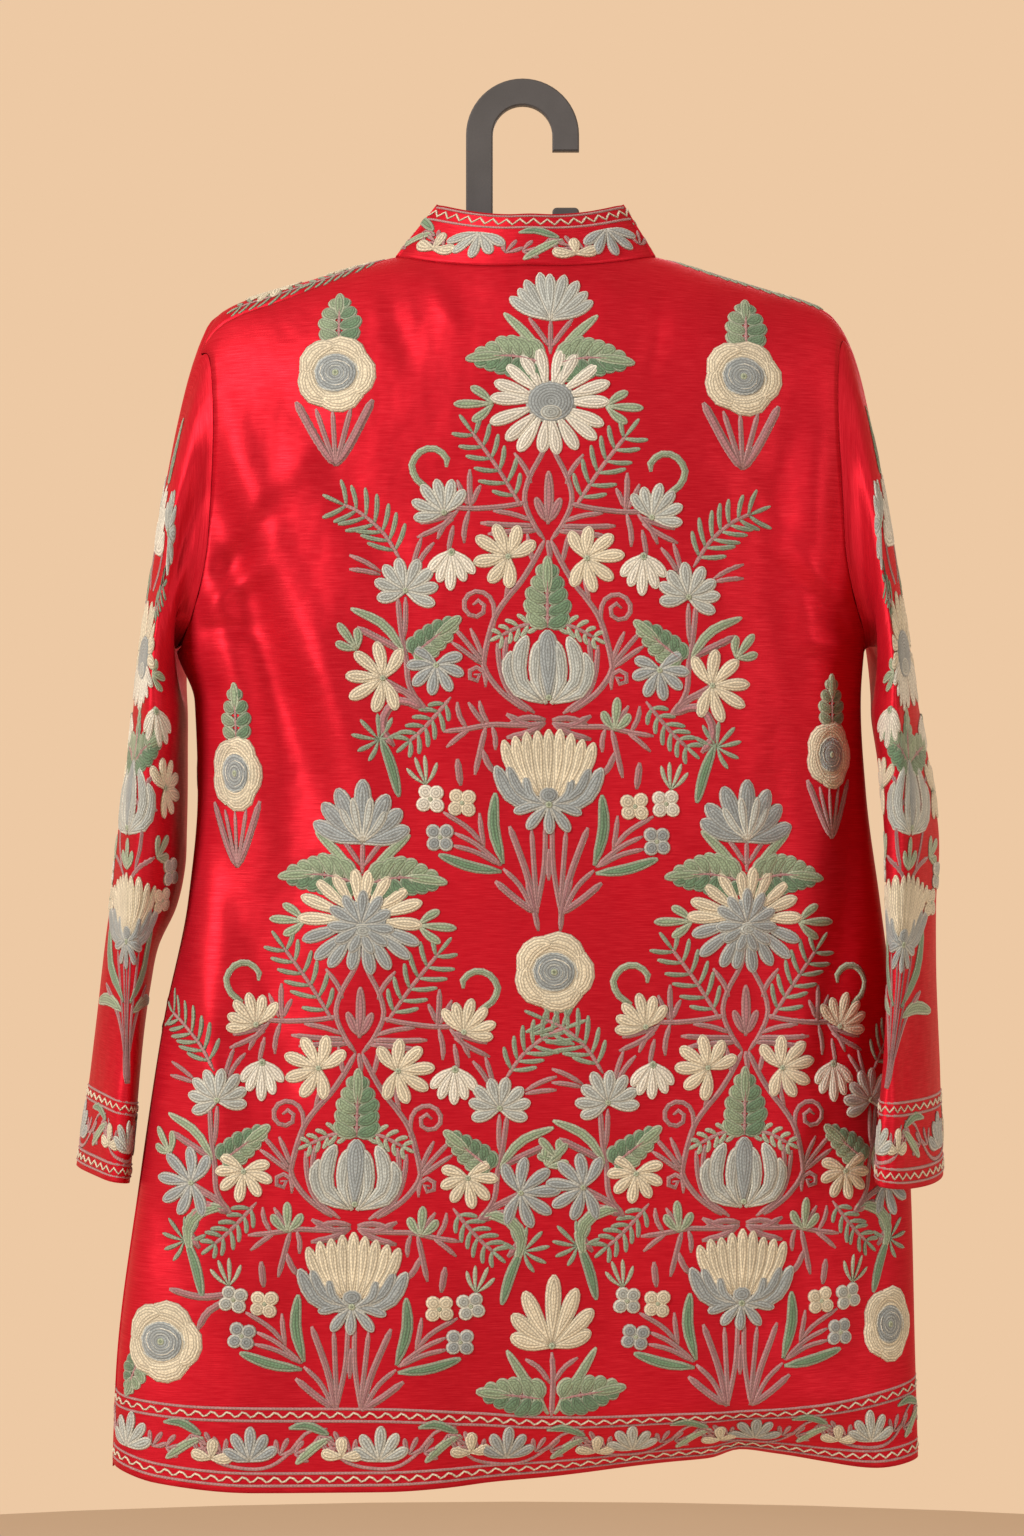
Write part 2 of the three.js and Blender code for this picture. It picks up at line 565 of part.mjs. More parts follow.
function sleeve(name, sideSign) {
  const rows = SLEEVES[name];
  const outwards = new THREE.Vector3(sideSign, 0, 0);
  const highAt = (share) => (1 - Math.cos(2 * Math.PI * share)) / 2; // 0 at the underarm, 1 at the shoulder
  const start = offSeam(armholes[name], true, (p, share) => ({ way: outwards, turned: 1 - highAt(share) }));
  const count = start.length;
  const first = sleeveRing(rows, rows[0].z, sideSign, count);
  const below = 10;
  const next = sleeveRing(rows, rows[0].z - below, sideSign, count);
  const outer = [start.map((point) => point.outer)];
  for (const share of steps(SLEEVE_HEAD_RINGS).slice(1, -1)) {
    const t = share ** SLEEVE_RINGS_CROWD;
    const [t2, t3] = [t * t, t * t * t];
    outer.push(
      start.map((point, i) => {
        const leave = point.away.clone();
        const high = highAt(i / count);
        leave.multiplyScalar(mix(SLEEVE_LEAVES_UNDERARM, SLEEVE_LEAVES_SHOULDER, high));
        leave.z += SLEEVE_ARCH * (1 - high) ** 3;
        const drop = point.outer.distanceTo(first[i]);
        const arrive = new THREE.Vector3().subVectors(next[i], first[i]);
        arrive.setLength(Math.min(SLEEVE_FALLS, drop * SLEEVE_FALLS_SHARE));
        return point.outer
          .clone()
          .multiplyScalar(2 * t3 - 3 * t2 + 1)
          .addScaledVector(leave, t3 - 2 * t2 + t)
          .addScaledVector(first[i], 3 * t2 - 2 * t3)
          .addScaledVector(arrive, t3 - t2);
      }),
    );
  }
  for (const t of steps(SLEEVE_ARM_RINGS))
    outer.push(sleeveRing(rows, mix(rows[0].z, rows[rows.length - 1].z, t), sideSign, count));
  const outside = sideSign;
  const inside = inner(outer, gridNormals(outer, outside, true));
  return { outer, inside, outside, wrap: true };
}

// ---------------------------------------------------------------- collar
function collar() {
  const aim = (p) => ({ way: new THREE.Vector3(-p.x, -p.y, COLLAR_AIM), turned: COLLAR_TURNED });
  const start = offSeam(neckLoop, false, aim);
  const outer = steps(COLLAR_ROWS).map((t, row) =>
    start.map((point) => {
      if (row === 0) return point.outer;
      const seam = point.outer;
      const across = mix(1, COLLAR_TOP_SHARE, t);
      const deep = mix(1, COLLAR_TOP_DEPTH_SHARE, t);
      return new THREE.Vector3(
        (seam.x - NECK_CENTRE) * across + NECK_CENTRE + COLLAR_TOP_SHIFT * t,
        seam.y * deep,
        seam.z + COLLAR_HEIGHT * t,
      );
    }),
  );
  const outside = 1;
  const inside = inner(outer, gridNormals(outer, outside, false));
  return { outer, inside, outside, wrap: false };
}

// ---------------------------------------------------------------- hanger
// The hook is one flat moulding: a shank up from the foot, the bend over the rail, and a short post on the
// right that keeps the rail in.
function hookGeometry() {
  const middle = -HOOK_INNER;
  const corner = HOOK_CORNER;
  const outline = new THREE.Shape();
  outline.moveTo(-HOOK_OUTER, HOOK_FOOT);
  outline.lineTo(HOOK_OUTER, HOOK_FOOT);
  outline.lineTo(HOOK_OUTER, POST_TOP - corner);
  outline.absarc(HOOK_OUTER - corner, POST_TOP - corner, corner, 0, Math.PI / 2, false);
  outline.lineTo(HOOK_INNER + corner, POST_TOP);
  outline.absarc(HOOK_INNER + corner, POST_TOP - corner, corner, Math.PI / 2, Math.PI, false);
  outline.lineTo(HOOK_INNER, HOOK_FOOT_TOP);
  outline.lineTo(-HOOK_INNER, HOOK_FOOT_TOP);
  outline.lineTo(-HOOK_INNER, middle);
  outline.absarc(0, middle, HOOK_INNER, Math.PI, 0, true);
  outline.lineTo(HOOK_INNER, middle - HOOK_TIP_DROP);
  outline.lineTo(HOOK_OUTER, middle - HOOK_TIP_DROP);
  outline.lineTo(HOOK_OUTER, middle);
  outline.absarc(0, middle, HOOK_OUTER, 0, Math.PI, false);
  outline.lineTo(-HOOK_OUTER, HOOK_FOOT);
  const geometry = new THREE.ExtrudeGeometry(outline, {
    depth: HOOK_THICK - 2 * HOOK_BEVEL,
    curveSegments: BEND_SEGMENTS,
    bevelEnabled: true,
    bevelSize: HOOK_BEVEL,
    bevelOffset: -HOOK_BEVEL,
    bevelThickness: HOOK_BEVEL,
    bevelSegments: 1,
  });
  geometry.translate(0, 0, -HOOK_THICK / 2 + HOOK_BEVEL);
  return geometry.rotateX(Math.PI / 2);
}

// The arm carries the shoulders from inside: elliptical sections that follow the ridge, broad at the ends.
function armGeometry() {
  const leftPlaces = ARM_PLACES.slice(1).map((out) => -out);
  const places = [...leftPlaces.reverse(), ...ARM_PLACES];
  const outer = places.map((place) => {
    const out = Math.abs(place);
    const of = (column) => read(ARM, "out", column, out);
    const x = place + NECK_CENTRE;
    const top = Math.min(ridgeHeight(x) - CLOTH - ARM_CLEARANCE - of("drop"), HOOK_FOOT - SEAM_GAP);
    const half = (ARM_HEIGHT / 2) * (out > ARM_TIP ? ARM_TIP_SHARE : 1);
    return Array.from({ length: ARM_SIDES }, (_, i) => {
      const angle = (2 * Math.PI * (i + 0.5)) / ARM_SIDES;
      const flat = signedPower(Math.sin(angle), ARM_ROUND);
      return new THREE.Vector3(x, of("deep") * Math.cos(angle), top - half + half * flat);
    });
  });
  const positions = outer.flat().flatMap((p) => [p.x, p.y, p.z]);
  const faces = [];
  const id = (r, c) => r * ARM_SIDES + (c % ARM_SIDES);
  for (let r = 0; r < outer.length - 1; r++)
    for (let c = 0; c < ARM_SIDES; c++)
      faces.push(id(r, c), id(r, c + 1), id(r + 1, c + 1), id(r, c), id(r + 1, c + 1), id(r + 1, c));
  const last = outer.length - 1;
  for (let c = 1; c < ARM_SIDES - 1; c++) {
    faces.push(id(0, 0), id(0, c + 1), id(0, c));
    faces.push(id(last, 0), id(last, c), id(last, c + 1));
  }
  const geometry = new THREE.BufferGeometry();
  geometry.setAttribute("position", new THREE.Float32BufferAttribute(positions, 3));
  geometry.setIndex(faces);
  geometry.computeVertexNormals();
  return geometry;
}

// ---------------------------------------------------------------- the jacket on its hanger
const jacket = new THREE.Group();
function add(name, geometry, material) {
  const mesh = new THREE.Mesh(geometry, material);
  mesh.name = name;
  jacket.add(mesh);
}
add("back_panel", wallGeometry(back), SILK);
add("front_panel_left", wallGeometry(frontLeft), SILK);
add("front_panel_right", wallGeometry(frontRight), SILK);
add("sleeve_left", wallGeometry(sleeve("left", -1)), SILK);
add("sleeve_right", wallGeometry(sleeve("right", 1)), SILK);
add("stand_collar", wallGeometry(collar()), SILK);
add("hanger_hook", hookGeometry(), PLASTIC);
add("hanger_arm", armGeometry(), PLASTIC);

export default jacket;
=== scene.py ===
"""Looks of an embroidered silk jacket on its hanger: draped cloth, chain stitch and moulded plastic."""

import math
import random

import bmesh
import bpy
import numpy as np
from bpy.props import FloatProperty, FloatVectorProperty, IntProperty, PointerProperty
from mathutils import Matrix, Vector


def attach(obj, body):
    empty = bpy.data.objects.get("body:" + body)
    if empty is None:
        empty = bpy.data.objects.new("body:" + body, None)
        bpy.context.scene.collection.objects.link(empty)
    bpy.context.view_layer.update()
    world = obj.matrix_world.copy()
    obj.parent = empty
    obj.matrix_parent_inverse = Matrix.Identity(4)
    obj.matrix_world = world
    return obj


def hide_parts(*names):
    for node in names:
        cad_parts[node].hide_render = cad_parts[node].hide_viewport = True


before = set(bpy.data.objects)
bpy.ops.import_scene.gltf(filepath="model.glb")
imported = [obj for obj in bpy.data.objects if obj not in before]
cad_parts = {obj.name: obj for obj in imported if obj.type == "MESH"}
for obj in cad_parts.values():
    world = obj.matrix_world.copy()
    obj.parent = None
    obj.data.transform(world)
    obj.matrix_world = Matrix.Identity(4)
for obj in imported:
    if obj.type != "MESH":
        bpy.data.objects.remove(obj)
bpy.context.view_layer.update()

bl_info = {
    "name": "Embroidered Jacket",
    "version": (1, 0, 0),
    "blender": (4, 5, 0),
    "location": "View3D > Sidebar > Jacket",
    "description": "Cloth, chain-stitch embroidery and hanger of a silk jacket",
    "category": "Add Mesh",
}

# Tables and the embroidery's chart are in millimetres; Blender's meshes are in metres.
MM = 0.001
ROOT = "root"
SEED = 11


def linear(hex_colour):
    """A colour written as sRGB hex, as Blender's linear red, green and blue."""
    values = [int(hex_colour[i : i + 2], 16) / 255 for i in (1, 3, 5)]
    return tuple(v / 12.92 if v <= 0.04045 else ((v + 0.055) / 1.055) ** 2.4 for v in values)


# ---------------------------------------------------------------- what a user may change
def colour_property(name, hex_colour, description):
    return FloatVectorProperty(
        name=name, description=description, subtype="COLOR", size=3, min=0, max=1, default=linear(hex_colour)
    )


def length_property(name, millimetres, description):
    return FloatProperty(
        name=name, description=description, default=millimetres * MM, unit="LENGTH", precision=5
    )


class JacketSizes(bpy.types.PropertyGroup):
    """Sizes that change how fine the cloth and its stitching are"""

    cloth: length_property("Cloth", 1.3, "Thickness of the silk and its backing")
    thread: length_property("Thread", 0.75, "How far the embroidery stands out of the cloth")
    chain_row: length_property("Chain row", 1.9, "Width of one row of chain stitch")
    chain_link: length_property("Chain link", 2.3, "Length of one chain stitch")
    columns: IntProperty(name="Columns", description="Cells across the back panel", default=132, min=30)
    rows: IntProperty(name="Rows", description="Cells up the back panel", default=212, min=30)


class JacketColours(bpy.types.PropertyGroup):
    """Colours of the silk, the embroidery wools and the hanger"""

    silk: colour_property("Silk", "#bf1428", "Red of the silk")
    slub: colour_property("Slub", "#cf2838", "Paler red of the thick weft threads")
    plastic: colour_property("Plastic", "#47484b", "Dark grey of the hanger")
    palest: colour_property("Palest", "#d6d6c8", "Outer rows of the petals")
    white: colour_property("White", "#ccccc2", "Whitest petals")
    cream: colour_property("Cream", "#cac4ae", "Warm petals")
    blue_grey: colour_property("Blue grey", "#8a9599", "Shaded petals")
    grey: colour_property("Grey", "#a0a9a7", "Petals between cream and blue grey")
    leaf: colour_property("Leaf", "#7f957a", "Light green")
    dark_leaf: colour_property("Dark leaf", "#587a5e", "Darker green")
    mauve: colour_property("Mauve", "#99686f", "Stems and veins")
    backdrop: colour_property("Backdrop", "#edc9a4", "Warm pale surroundings")
    floor: colour_property("Floor", "#dccbb6", "Pale floor")


class JacketSettings(bpy.types.PropertyGroup):
    """All settings of the jacket"""

    sizes: PointerProperty(type=JacketSizes)
    colours: PointerProperty(type=JacketColours)


def settings():
    return bpy.context.scene.embroidered_jacket


# ---------------------------------------------------------------- the drape, as named sizes and tables
NECK_CENTRE = 2
NECK_HALF = 85
SHOULDER_HALF = 211
UNDERARM = -356
HEM_LEVEL = -892
SHOULDER_FALL = 150
ROLL_LEVEL = -245  # about where the back starts to lean forwards to the shoulder ridge
SHOULDER_ROUND = 2.2
ROLL_DEPTH = 62  # depth of the body that lengths over the shoulder are measured at
HEM_BAND = 55
HEM_CURL_SOFTNESS = 15
FRONT_GAP_NECK = 3
FRONT_GAP_HEM = 9
FOLD_FADE = 0.7
FOLD_ENDS = 0.8
COLLAR_HEIGHT = 34
COLLAR_TOP_SHARE = 0.72
COLLAR_TOP_DEPTH_SHARE = 0.85
COLLAR_TOP_SHIFT = 3
COLLAR_AIM = 120
COLLAR_TURNED = 0.5
SEAM_GAP = 0.3
SLEEVE_LEAVES_SHOULDER = 60
SLEEVE_LEAVES_UNDERARM = 64
SLEEVE_ARCH = 38
SLEEVE_FALLS = 190
SLEEVE_FALLS_SHARE = 0.8
SLEEVE_SQUARE = 1.9
SLEEVE_RINGS_CROWD = 1.4

# The rows and columns that the garment's solids are divided in, which this cloth follows more finely.
SHOULDER_COLUMNS = 8
NECK_COLUMNS = 14
BODY_ROWS = 17
ARMHOLE_ROWS = 4
ROLL_ROWS = 8
ROLL_START_ROW = BODY_ROWS + ARMHOLE_ROWS
TOP_ROW = ROLL_START_ROW + ROLL_ROWS
BACK_COLUMNS = 2 * SHOULDER_COLUMNS + NECK_COLUMNS
SLEEVE_HEAD_RINGS = 6
SLEEVE_ARM_RINGS = 12
COLLAR_ROWS = 4
SLEEVE_CELLS = (97, 168)  # points round a sleeve and down it
COLLAR_CELLS = (113, 13)  # points along the collar and up it
SIDES = (("left", -1), ("right", 1))
TOP_SPACING_RATE = 1.7
LENGTH_STEPS = 200
NORMAL_STEP = 0.05  # rows and columns between the points that a normal is read from
SLEEVE_TURN = 150  # mm that a whole turn round a sleeve counts as, for the width of its creases
LEVEL_STEP = 10.0
LENGTH_STEP = 2.0


class Curve:
    """A smooth curve through values at places, which never overshoots them."""

    def __init__(self, places, values):
        order = np.argsort(places)
        self.places = np.asarray(places, float)[order]
        self.values = np.asarray(values, float)[order]
        rise = np.diff(self.values) / np.diff(self.places)
        both = rise[:-1] * rise[1:]
        total = np.where(both > 0, rise[:-1] + rise[1:], 1)
        inner = np.where(both > 0, 2 * both / total, 0)
        self.slopes = np.concatenate([rise[:1], inner, rise[-1:]])

    def __call__(self, at):
        at = np.clip(at, self.places[0], self.places[-1])
        i = np.clip(np.searchsorted(self.places, at, side="right") - 1, 0, len(self.places) - 2)
        span = self.places[i + 1] - self.places[i]
        t = (at - self.places[i]) / span
        t2, t3 = t * t, t * t * t
        return (
            self.values[i] * (2 * t3 - 3 * t2 + 1)
            + self.slopes[i] * span * (t3 - 2 * t2 + t)
            + self.values[i + 1] * (3 * t2 - 2 * t3)
            + self.slopes[i + 1] * span * (t3 - t2)
        )


def table(columns, *rows):
    """A curve for each named column of a table, over its first column."""
    places = [row[0] for row in rows]
    return {name: Curve(places, [row[i] for row in rows]) for i, name in enumerate(columns.split())}


BODY = table(
    "z left right back front square_left square_right turn",
    (-895, -267, 264, 66, 62, 3.2, 2.3, 7),
    (-830, -264.5, 262, 68, 64, 3.2, 2.3, 7),
    (-705, -249.5, 258, 72, 67, 3.0, 2.3, 6.5),
    (-600, -234, 247, 74, 70, 2.8, 2.4, 6),
    (-520, -218, 236, 75, 72, 2.7, 2.4, 5),
    (-450, -212, 226, 75, 73, 2.6, 2.5, 4),
    (-390, -214, 222, 74, 72, 2.6, 2.6, 3),
    (-356, -226, 224, 73, 71, 2.6, 2.6, 2),
    (-300, -230, 234, 72, 69, 2.6, 2.6, 1),
    (-100, -230, 234, 70, 66, 2.6, 2.6, 0),
)
RIDGE = table(
    "out left right",
    (0, -81.5, -81.5),
    (20, -83, -83),
    (40, -88, -88),
    (60, -94, -94),
    (85, -99.5, -99.5),
    (130, -111.5, -113),
    (160, -120.5, -122),
    (184, -128, -129),
    (198, -135, -136),
    (206, -143, -145),
    (211, -152, -155),
)
SHOULDER_SEAM = table("out left right", (85, 1, 1), (120, 7, 2), (160, 11, 3), (211, 12, 3))
NECK_SEAM = table(
    "out back front",
    (0, -110.6, -168),
    (20, -111, -165.5),
    (40, -109.6, -156),
    (60, -106.5, -139),
    (75, -103, -119),
    (85, -100.5, -100.5),
)
ARMHOLE = table(
    "way back front",
    (0, 224, 224),
    (0.14, 215, 212),
    (0.34, 205, 199),
    (0.6, 201, 193),
    (0.85, 204, 200),
    (1, 211, 211),
)
BACK_HEM = table(
    "x z curl",
    (-268, -880, 0),
    (-240, -887, 0),
    (-180, -892, 0),
    (-100, -892, 0),
    (-60, -892, 8),
    (-30, -893, 20),
    (10, -895, 30),
    (47, -896, 38),
    (84, -896, 43),
    (115, -896, 46),
    (135, -895, 52),
    (159, -896, 48),
    (197, -897, 36),
    (229, -895, 18),
    (262, -889, 0),
)
FRONT_HEM = table("x z", (-268, -884), (-200, -889), (0, -892), (200, -891), (262, -887))
SLEEVES = {
    "left": table(
        "z x y wide deep turn slant",
        (-390, -237, 2, 16.5, 72, 0, 14),
        (-454, -240.5, 3, 20, 68, 0, 12),
        (-506, -245, 4, 22, 65, 2, 12),
        (-545, -256, 6, 17, 62, 6, 11),
        (-600, -264, 7, 15, 60, 10, 11),
        (-650, -269.5, 8, 14.5, 58, 14, 9),
        (-700, -276, 9, 14, 57, 18, 6),
    ),
    "right": table(
        "z x y wide deep turn slant",
        (-395, 243, -4, 15, 72, -5, 12),
        (-450, 250, -10, 15, 68, -10, 10),
        (-500, 253, -16, 14, 65, -14, 8),
        (-560, 252.5, -22, 13.5, 62, -15, 6),
        (-610, 252, -26, 13.5, 60, -18, 2),
        (-660, 250.5, -29, 14, 58, -22, -3),
        (-698, 250, -31, 14.5, 58, -24, -8),
    ),
}
SLEEVE_ENDS = {"left": (-390, -700), "right": (-395, -698)}

# Long soft folds: place across the panel at the top and bottom, half width, from and to height, how far out.
BACK_FOLDS = (
    (-165, -150, 26, -250, -640, -7),
    (-190, -222, 20, -380, -880, 5),
    (-140, -105, 22, -200, -520, 4),
    (160, 178, 20, -230, -600, -5),
    (130, 140, 16, -260, -560, 3),
    (188, 215, 16, -300, -760, 4),
    (-60, -80, 40, -640, -930, 4),
    (60, 90, 45, -700, -930, -4),
)
FRONT_FOLDS = (
    (-150, -175, 26, -300, -880, -7),
    (-105, -115, 24, -260, -900, 6),
    (-40, -55, 20, -420, -930, -4),
    (45, 50, 22, -400, -930, -5),
    (110, 125, 24, -260, -900, 6),
    (155, 185, 26, -300, -860, -7),
)

# Creases: x and z of one end, x and z of the other, half width and how far out, a trough being negative.
BACK_CREASES = (
    (-196, -196, -96, -470, 14, 6.6),
    (-206, -236, -122, -500, 13, -6.4),
    (-206, -290, -158, -520, 12, 5.6),
    (-150, -190, -70, -330, 16, -4.2),
    (-204, -470, -150, -640, 14, -5.4),
    (-226, -500, -190, -690, 12, 5.2),
    (196, -200, 170, -420, 14, 5.4),
    (170, -190, 130, -400, 15, -4.8),
    (214, -420, 196, -620, 12, -5.2),
    (176, -470, 170, -680, 14, 4.4),
    (-236, -700, -206, -840, 14, -3.6),
    (236, -680, 214, -830, 14, -3.4),
    (-60, -130, -150, -175, 14, 2.4),
    (70, -128, 165, -190, 14, 2.2),
    (-200, -318, -148, -250, 9, -4.2),
    (-203, -330, -160, -300, 7, 3.5),
    (-208, -345, -170, -345, 6, -3.5),
    (-196, -300, -120, -215, 11, 2.6),
    (212, -345, 160, -300, 8, -4.5),
    (214, -356, 176, -352, 6, 3.8),
    (206, -330, 150, -262, 10, 2.9),
    (203, -318, 118, -222, 9, -2.6),
    (-88, -120, -70, -190, 9, -2.2),
    (-60, -118, -40, -160, 8, 1.9),
    (92, -118, 74, -200, 9, -2.4),
    (60, -120, 48, -168, 8, 1.9),
    (-20, -420, 60, -470, 13, -1.6),
    (-150, -520, -60, -560, 15, 1.9),
    (80, -560, 160, -600, 15, -1.9),
    (-120, -650, -10, -700, 16, -1.8),
    (20, -640, 110, -700, 14, 1.8),
    (-210, -600, -130, -650, 12, -3.6),
    (200, -640, 140, -700, 12, 3.2),
    (-40, -790, 60, -830, 14, 1.6),
    (-190, -780, -120, -830, 13, -1.9),
    (150, -780, 210, -840, 12, -2.2),
)
FRONT_CREASES = (
    (-200, -325, -130, -250, 10, -3.8),
    (-205, -350, -150, -320, 8, 3.5),
    (205, -325, 130, -245, 10, -3.8),
    (208, -352, 150, -318, 8, 3.5),
    (-70, -180, -40, -330, 12, -2.6),
    (70, -180, 46, -320, 12, 2.4),
    (-150, -520, -60, -580, 15, 2.1),
    (150, -500, 60, -560, 15, -2.1),
    (-180, -700, -90, -760, 14, -2.2),
    (190, -720, 100, -780, 14, 2.2),
)


def mix(a, b, t):
    return a + (b - a) * t


def smooth(t):
    s = np.clip(t, 0, 1)
    return s * s * (3 - 2 * s)


def signed_power(value, power):
    return np.sign(value) * np.abs(value) ** power


def unit(vectors):
    return vectors / np.maximum(np.linalg.norm(vectors, axis=-1, keepdims=True), 1e-9)


def run_of(points):
    """Length of a line up to each of its points."""
    return np.concatenate([[0], np.cumsum(np.linalg.norm(np.diff(points, axis=0), axis=1))])


def ridge_height(x):
    out = np.abs(x - NECK_CENTRE)
    return np.where(x < NECK_CENTRE, RIDGE["left"](out), RIDGE["right"](out))


def roll_start(x):
    return ridge_height(x) - SHOULDER_FALL


class Shell:
    """Back or front of the hanging body: where a place of the cloth lies in space."""

    def __init__(self, name):
        self.name = name
        self.sign = -1 if name == "back" else 1
        self.folds = BACK_FOLDS if name == "back" else FRONT_FOLDS
        self.creases = BACK_CREASES if name == "back" else FRONT_CREASES
        self.hem = (BACK_HEM if name == "back" else FRONT_HEM)["z"]
        angles = np.linspace(math.pi / 2, -0.75, 160)
        lean, rise = self.roll(angles)
        self.roll_angles = angles
        self.roll_lengths = run_of(np.stack([lean * ROLL_DEPTH, rise], -1))
        self.measure_across()

    def roll(self, angle):
        """How far a place leans back or forwards, and how far below the shoulder ridge it is."""
        lean = signed_power(np.sin(angle), 2 / SHOULDER_ROUND) * self.sign
        rise = SHOULDER_FALL * (np.abs(np.cos(angle)) ** (2 / SHOULDER_ROUND) - 1)
        return lean, rise

    def roundness(self, x, z):
        left, right = BODY["left"](z), BODY["right"](z)
        middle, half = (left + right) / 2, (right - left) / 2
        square = np.where(x < middle, BODY["square_left"](z), BODY["square_right"](z))
        across = np.minimum(1, np.abs(x - middle) / half)
        return (1 - across**square) ** (1 / square)

    def relief(self, x, z):
        """Height of folds and creases."""
        out = np.zeros(np.broadcast(x, z).shape)
        for top, bottom, wide, start, end, height in self.folds:
            along = np.clip((z - start) / (end - start), 0, 1)
            away = (x - mix(top, bottom, along)) / wide
            out += height * np.sin(math.pi * along) ** FOLD_ENDS * np.exp(-away * away)
        for x1, z1, x2, z2, wide, height in self.creases:
            length = math.hypot(x2 - x1, z2 - z1)
            across, up = (x2 - x1) / length, (z2 - z1) / length
            along = ((x - x1) * across + (z - z1) * up) / length
            away = ((z - z1) * across - (x - x1) * up) / wide
            ends = smooth(along / 0.35 + 0.4) * smooth((1 - along) / 0.5 + 0.2)
            out += height * ends * np.exp(-away * away)
        return out

    def place(self, x, z, lean):
        depth = np.where(lean < 0, BODY["back"](z), BODY["front"](z))
        rounded = self.roundness(x, z)
        relief = self.relief(x, z) * smooth(rounded / FOLD_FADE)
        y = lean * depth * rounded + relief * self.sign * np.abs(lean)
        z = z + relief * (1 - np.abs(lean)) * 0.8
        turn = np.radians(BODY["turn"](z))
        return np.stack([x * np.cos(turn) - y * np.sin(turn), x * np.sin(turn) + y * np.cos(turn), z], -1)

    def curl(self, points, above, x):
        """Bends the band above the back's hem under."""
        if self.name != "back":
            return points
        below = np.maximum(0, HEM_BAND - above)
        bent = below * below / (below + HEM_CURL_SOFTNESS)
        angle = np.radians(BACK_HEM["curl"](x))
        points[..., 1] += bent * np.sin(angle)
        points[..., 2] += bent * (1 - np.cos(angle))
        return points

    def on_cloth(self, x, height):
        """A place by x and by its height, which above the roll counts the length of cloth."""
        start = roll_start(x)
        over = height - start
        angle = np.interp(over, self.roll_lengths, self.roll_angles)
        lean, rise = self.roll(angle)
        flat = over <= 0
        z = np.where(flat, height, start + SHOULDER_FALL + rise)
        points = self.place(x, z, np.where(flat, self.sign, lean))
        return self.curl(points, np.where(flat, z - self.hem(x), HEM_BAND), x)

    def measure_across(self):
        """Length of cloth from the centre line, by level and x, turned into x by level and length."""
        self.levels = np.arange(-900, -235, LEVEL_STEP)
        self.lengths = np.arange(-340, 341, LENGTH_STEP)
        rows, ends = [], []
        for level in self.levels:
            left, right = BODY["left"](level), BODY["right"](level)
            x = (left + right) / 2 - (right - left) / 2 * np.cos(np.linspace(0, math.pi, 400))
            run = run_of(np.stack([x, self.roundness(x, level) * BODY["back"](level)], -1))
            run -= np.interp(NECK_CENTRE, x, run)
            rows.append(np.interp(self.lengths, run, x))
            ends.append((run[0], run[-1]))
        self.places = np.array(rows)
        self.ends = np.array(ends)

    def edges(self, level):
        """Lengths of cloth from the centre line to both sides of the body."""
        return np.interp(level, self.levels, self.ends[:, 0]), np.interp(level, self.levels, self.ends[:, 1])

    def across(self, side, level):
        """x of a place that lies this length of cloth to the side of the centre line."""
        r = np.clip((level - self.levels[0]) / LEVEL_STEP, 0, len(self.levels) - 1.001)
        c = np.clip((side - self.lengths[0]) / LENGTH_STEP, 0, len(self.lengths) - 1.001)
        r0, c0 = r.astype(int), c.astype(int)
        fr, fc = r - r0, c - c0
        low = mix(self.places[r0, c0], self.places[r0, c0 + 1], fc)
        high = mix(self.places[r0 + 1, c0], self.places[r0 + 1, c0 + 1], fc)
        return mix(low, high, fr)

    def at(self, side, height):
        """Place in space of a point of the flat cloth: mm to the side of the centre line, and its height."""
        return self.on_cloth(self.across(side, height), height)

    def with_normals(self, side, height):
        step = 1.0
        sideways = self.at(side + step, height) - self.at(side - step, height)
        upwards = self.at(side, height + step) - self.at(side, height - step)
        normals = unit(np.cross(sideways, upwards)) * -self.sign
        return self.at(side, height), normals


# ---------------------------------------------------------------- body panels
def top_place(side, column, armhole):
    """Place across a row near the top, by columns counted from the armhole to the middle of the neck."""
    gap = 0 if side == 0 else FRONT_GAP_NECK / 2
    inwards = np.minimum(column, BACK_COLUMNS - column) if side == 0 else column
    on_neck = np.clip((inwards - SHOULDER_COLUMNS) / (NECK_COLUMNS / 2), 0, 1)
    shoulder = mix(armhole, NECK_HALF, np.clip(inwards / SHOULDER_COLUMNS, 0, 1))
    out = np.where(inwards <= SHOULDER_COLUMNS, shoulder, mix(gap, NECK_HALF, np.cos(on_neck * math.pi / 2)))
    towards = side if side else np.where(column < BACK_COLUMNS / 2, -1, 1)
    return NECK_CENTRE + towards * out


def top_angle(name, x):
    """Where a column ends at the top, as an angle over the shoulder ridge."""
    out = np.abs(x - NECK_CENTRE)
    on_neck = out < NECK_HALF - 0.01
    shoulder = np.where(x < NECK_CENTRE, SHOULDER_SEAM["left"](out), SHOULDER_SEAM["right"](out))
    drop = np.where(on_neck, ridge_height(x) - NECK_SEAM[name](out), shoulder)
    angle = np.arccos(np.clip(1 - drop / SHOULDER_FALL, 0, 1) ** (SHOULDER_ROUND / 2))
    return np.where((name == "front") & ~on_neck, -angle, angle)


def even_share(shell, level, side, column, columns):
    """Share of the way across a row at which its length is divided evenly."""
    left, right = BODY["left"](level), BODY["right"](level)
    start, end = {-1: (0, 0.5), 1: (1, 0.5), 0: (0, 1)}[side]
    way = np.linspace(start, end, LENGTH_STEPS + 1)
    x = (left + right) / 2 - (right - left) / 2 * np.cos(way * math.pi)
    run = run_of(np.stack([x, shell.roundness(x, level) * BODY["back"](level)], -1))
    places = np.interp(column / columns * run[-1], run, x)
    return (places - x[0]) / (x[-1] - x[0])


